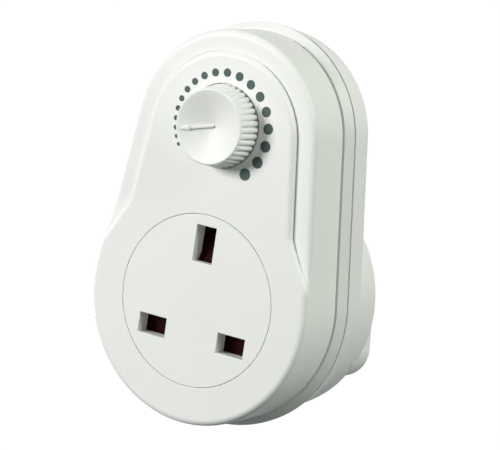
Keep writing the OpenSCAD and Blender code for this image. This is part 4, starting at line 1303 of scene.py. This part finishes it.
def add_softbox(name, spot_on_axes, size, power, tint):
    """A square lamp that faces the object, placed along the camera's axes."""
    place = AIM.copy()
    for share, axis in zip(spot_on_axes, camera_axes()):
        place += share * axis
    lamp = bpy.data.lights.new(name, "AREA")
    lamp.shape = "SQUARE"
    lamp.size = size
    lamp.energy = power
    lamp.color = tint
    holder = bpy.data.objects.new(name, lamp)
    bpy.context.scene.collection.objects.link(holder)
    holder.location = place
    holder.rotation_euler = (AIM - place).to_track_quat("-Z", "Y").to_euler()


def seen_directly(tree):
    """1 for rays that show the stage: from the camera, in gloss or through glass."""
    path = add(tree, "ShaderNodeLightPath")
    first = add(tree, "ShaderNodeMath", operation="MAXIMUM")
    tree.links.new(path.outputs["Is Camera Ray"], first.inputs[0])
    tree.links.new(path.outputs["Is Glossy Ray"], first.inputs[1])
    second = add(tree, "ShaderNodeMath", operation="MAXIMUM")
    tree.links.new(first.outputs[0], second.inputs[0])
    tree.links.new(path.outputs["Is Transmission Ray"], second.inputs[1])
    return second.outputs[0]


def add_world():
    """A white background, with a dim dome for the rays that light the object."""
    world = bpy.data.worlds.new("studio")
    world.use_nodes = True
    tree = world.node_tree
    tree.nodes.clear()
    dome = add(tree, "ShaderNodeBackground")
    dome.inputs["Color"].default_value = DOME_TINT
    dome.inputs["Strength"].default_value = DOME_STRENGTH
    white = add(tree, "ShaderNodeBackground")
    white.inputs["Color"].default_value = WHITE
    mix = add(tree, "ShaderNodeMixShader")
    tree.links.new(seen_directly(tree), mix.inputs[0])
    tree.links.new(dome.outputs[0], mix.inputs[1])
    tree.links.new(white.outputs[0], mix.inputs[2])
    out = add(tree, "ShaderNodeOutputWorld")
    tree.links.new(mix.outputs[0], out.inputs["Surface"])
    bpy.context.scene.world = world


def white_share(tree):
    """Share of white that the floor shows: most towards the camera, less in gloss and through glass."""
    path = add(tree, "ShaderNodeLightPath")
    gloss = add(tree, "ShaderNodeMath", operation="MAXIMUM")
    tree.links.new(path.outputs["Is Glossy Ray"], gloss.inputs[0])
    tree.links.new(path.outputs["Is Transmission Ray"], gloss.inputs[1])
    dimmed = add(tree, "ShaderNodeMath", operation="MULTIPLY")
    tree.links.new(gloss.outputs[0], dimmed.inputs[0])
    dimmed.inputs[1].default_value = GLOSS_SHARE
    share = add(tree, "ShaderNodeMath", operation="MULTIPLY_ADD")
    tree.links.new(path.outputs["Is Camera Ray"], share.inputs[0])
    share.inputs[1].default_value = CAMERA_SHARE
    tree.links.new(dimmed.outputs[0], share.inputs[2])
    return share.outputs[0]


def add_floor():
    """A wide floor some way below the object, white like the background."""
    deselect()
    bpy.ops.mesh.primitive_plane_add(size=FLOOR_SIZE, location=(0, 0, CAD_BOX[0][2] - FLOOR_DROP))
    floor = added("floor")
    material = bpy.data.materials.new("pale_floor")
    material.use_nodes = True
    tree = material.node_tree
    shader = tree.nodes["Principled BSDF"]
    shader.inputs["Base Color"].default_value = FLOOR_TONE
    shader.inputs["Roughness"].default_value = FLOOR_ROUGHNESS
    white = add(tree, "ShaderNodeEmission")
    white.inputs["Strength"].default_value = FLOOR_WHITE
    mix = add(tree, "ShaderNodeMixShader")
    tree.links.new(white_share(tree), mix.inputs[0])
    tree.links.new(shader.outputs[0], mix.inputs[1])
    tree.links.new(white.outputs[0], mix.inputs[2])
    tree.links.new(mix.outputs[0], tree.nodes["Material Output"].inputs["Surface"])
    floor.data.materials.append(material)


class DIMMER_OT_stage(bpy.types.Operator):
    """Sets up the camera, the floor, the lamps and the background"""
    bl_idname = "dimmer.stage"
    bl_label = "Stage"

    def execute(self, context):
        context.scene.view_settings.view_transform = "Standard"
        add_camera()
        add_world()
        for name, lamp in LAMPS.items():
            add_softbox(name, *lamp)
        add_floor()
        return {"FINISHED"}


STEPS = (
    "finishes", "front_shell", "rear_shell", "socket_insert", "shutter_spring", "knob", "scale_dots",
    "pins", "fuse_cover", "stage",
)


class DIMMER_PT_build(bpy.types.Panel):
    """Lists the steps that build the dimmer"""
    bl_idname = "DIMMER_PT_build"
    bl_label = "Plug-in dimmer"
    bl_space_type = "VIEW_3D"
    bl_region_type = "UI"
    bl_category = "Dimmer"

    def draw(self, context):
        for step in STEPS:
            self.layout.operator("dimmer." + step)


GROUPS = {
    "dimmer_housing": DIMMER_PG_housing,
    "dimmer_socket": DIMMER_PG_socket,
    "dimmer_knob": DIMMER_PG_knob,
    "dimmer_plug": DIMMER_PG_plug,
    "dimmer_finish": DIMMER_PG_finish,
}
CLASSES = (
    *GROUPS.values(), DIMMER_OT_finishes, DIMMER_OT_front_shell, DIMMER_OT_rear_shell,
    DIMMER_OT_socket_insert, DIMMER_OT_shutter_spring, DIMMER_OT_knob, DIMMER_OT_scale_dots, DIMMER_OT_pins,
    DIMMER_OT_fuse_cover, DIMMER_OT_stage, DIMMER_PT_build,
)


def register():
    for cls in CLASSES:
        bpy.utils.register_class(cls)
    for name, group in GROUPS.items():
        setattr(bpy.types.Scene, name, PointerProperty(type=group))


def unregister():
    for name in GROUPS:
        delattr(bpy.types.Scene, name)
    for cls in reversed(CLASSES):
        bpy.utils.unregister_class(cls)


def main():
    register()
    for step in STEPS:
        getattr(bpy.ops.dimmer, step)()


if __name__ == "__main__":
    main()
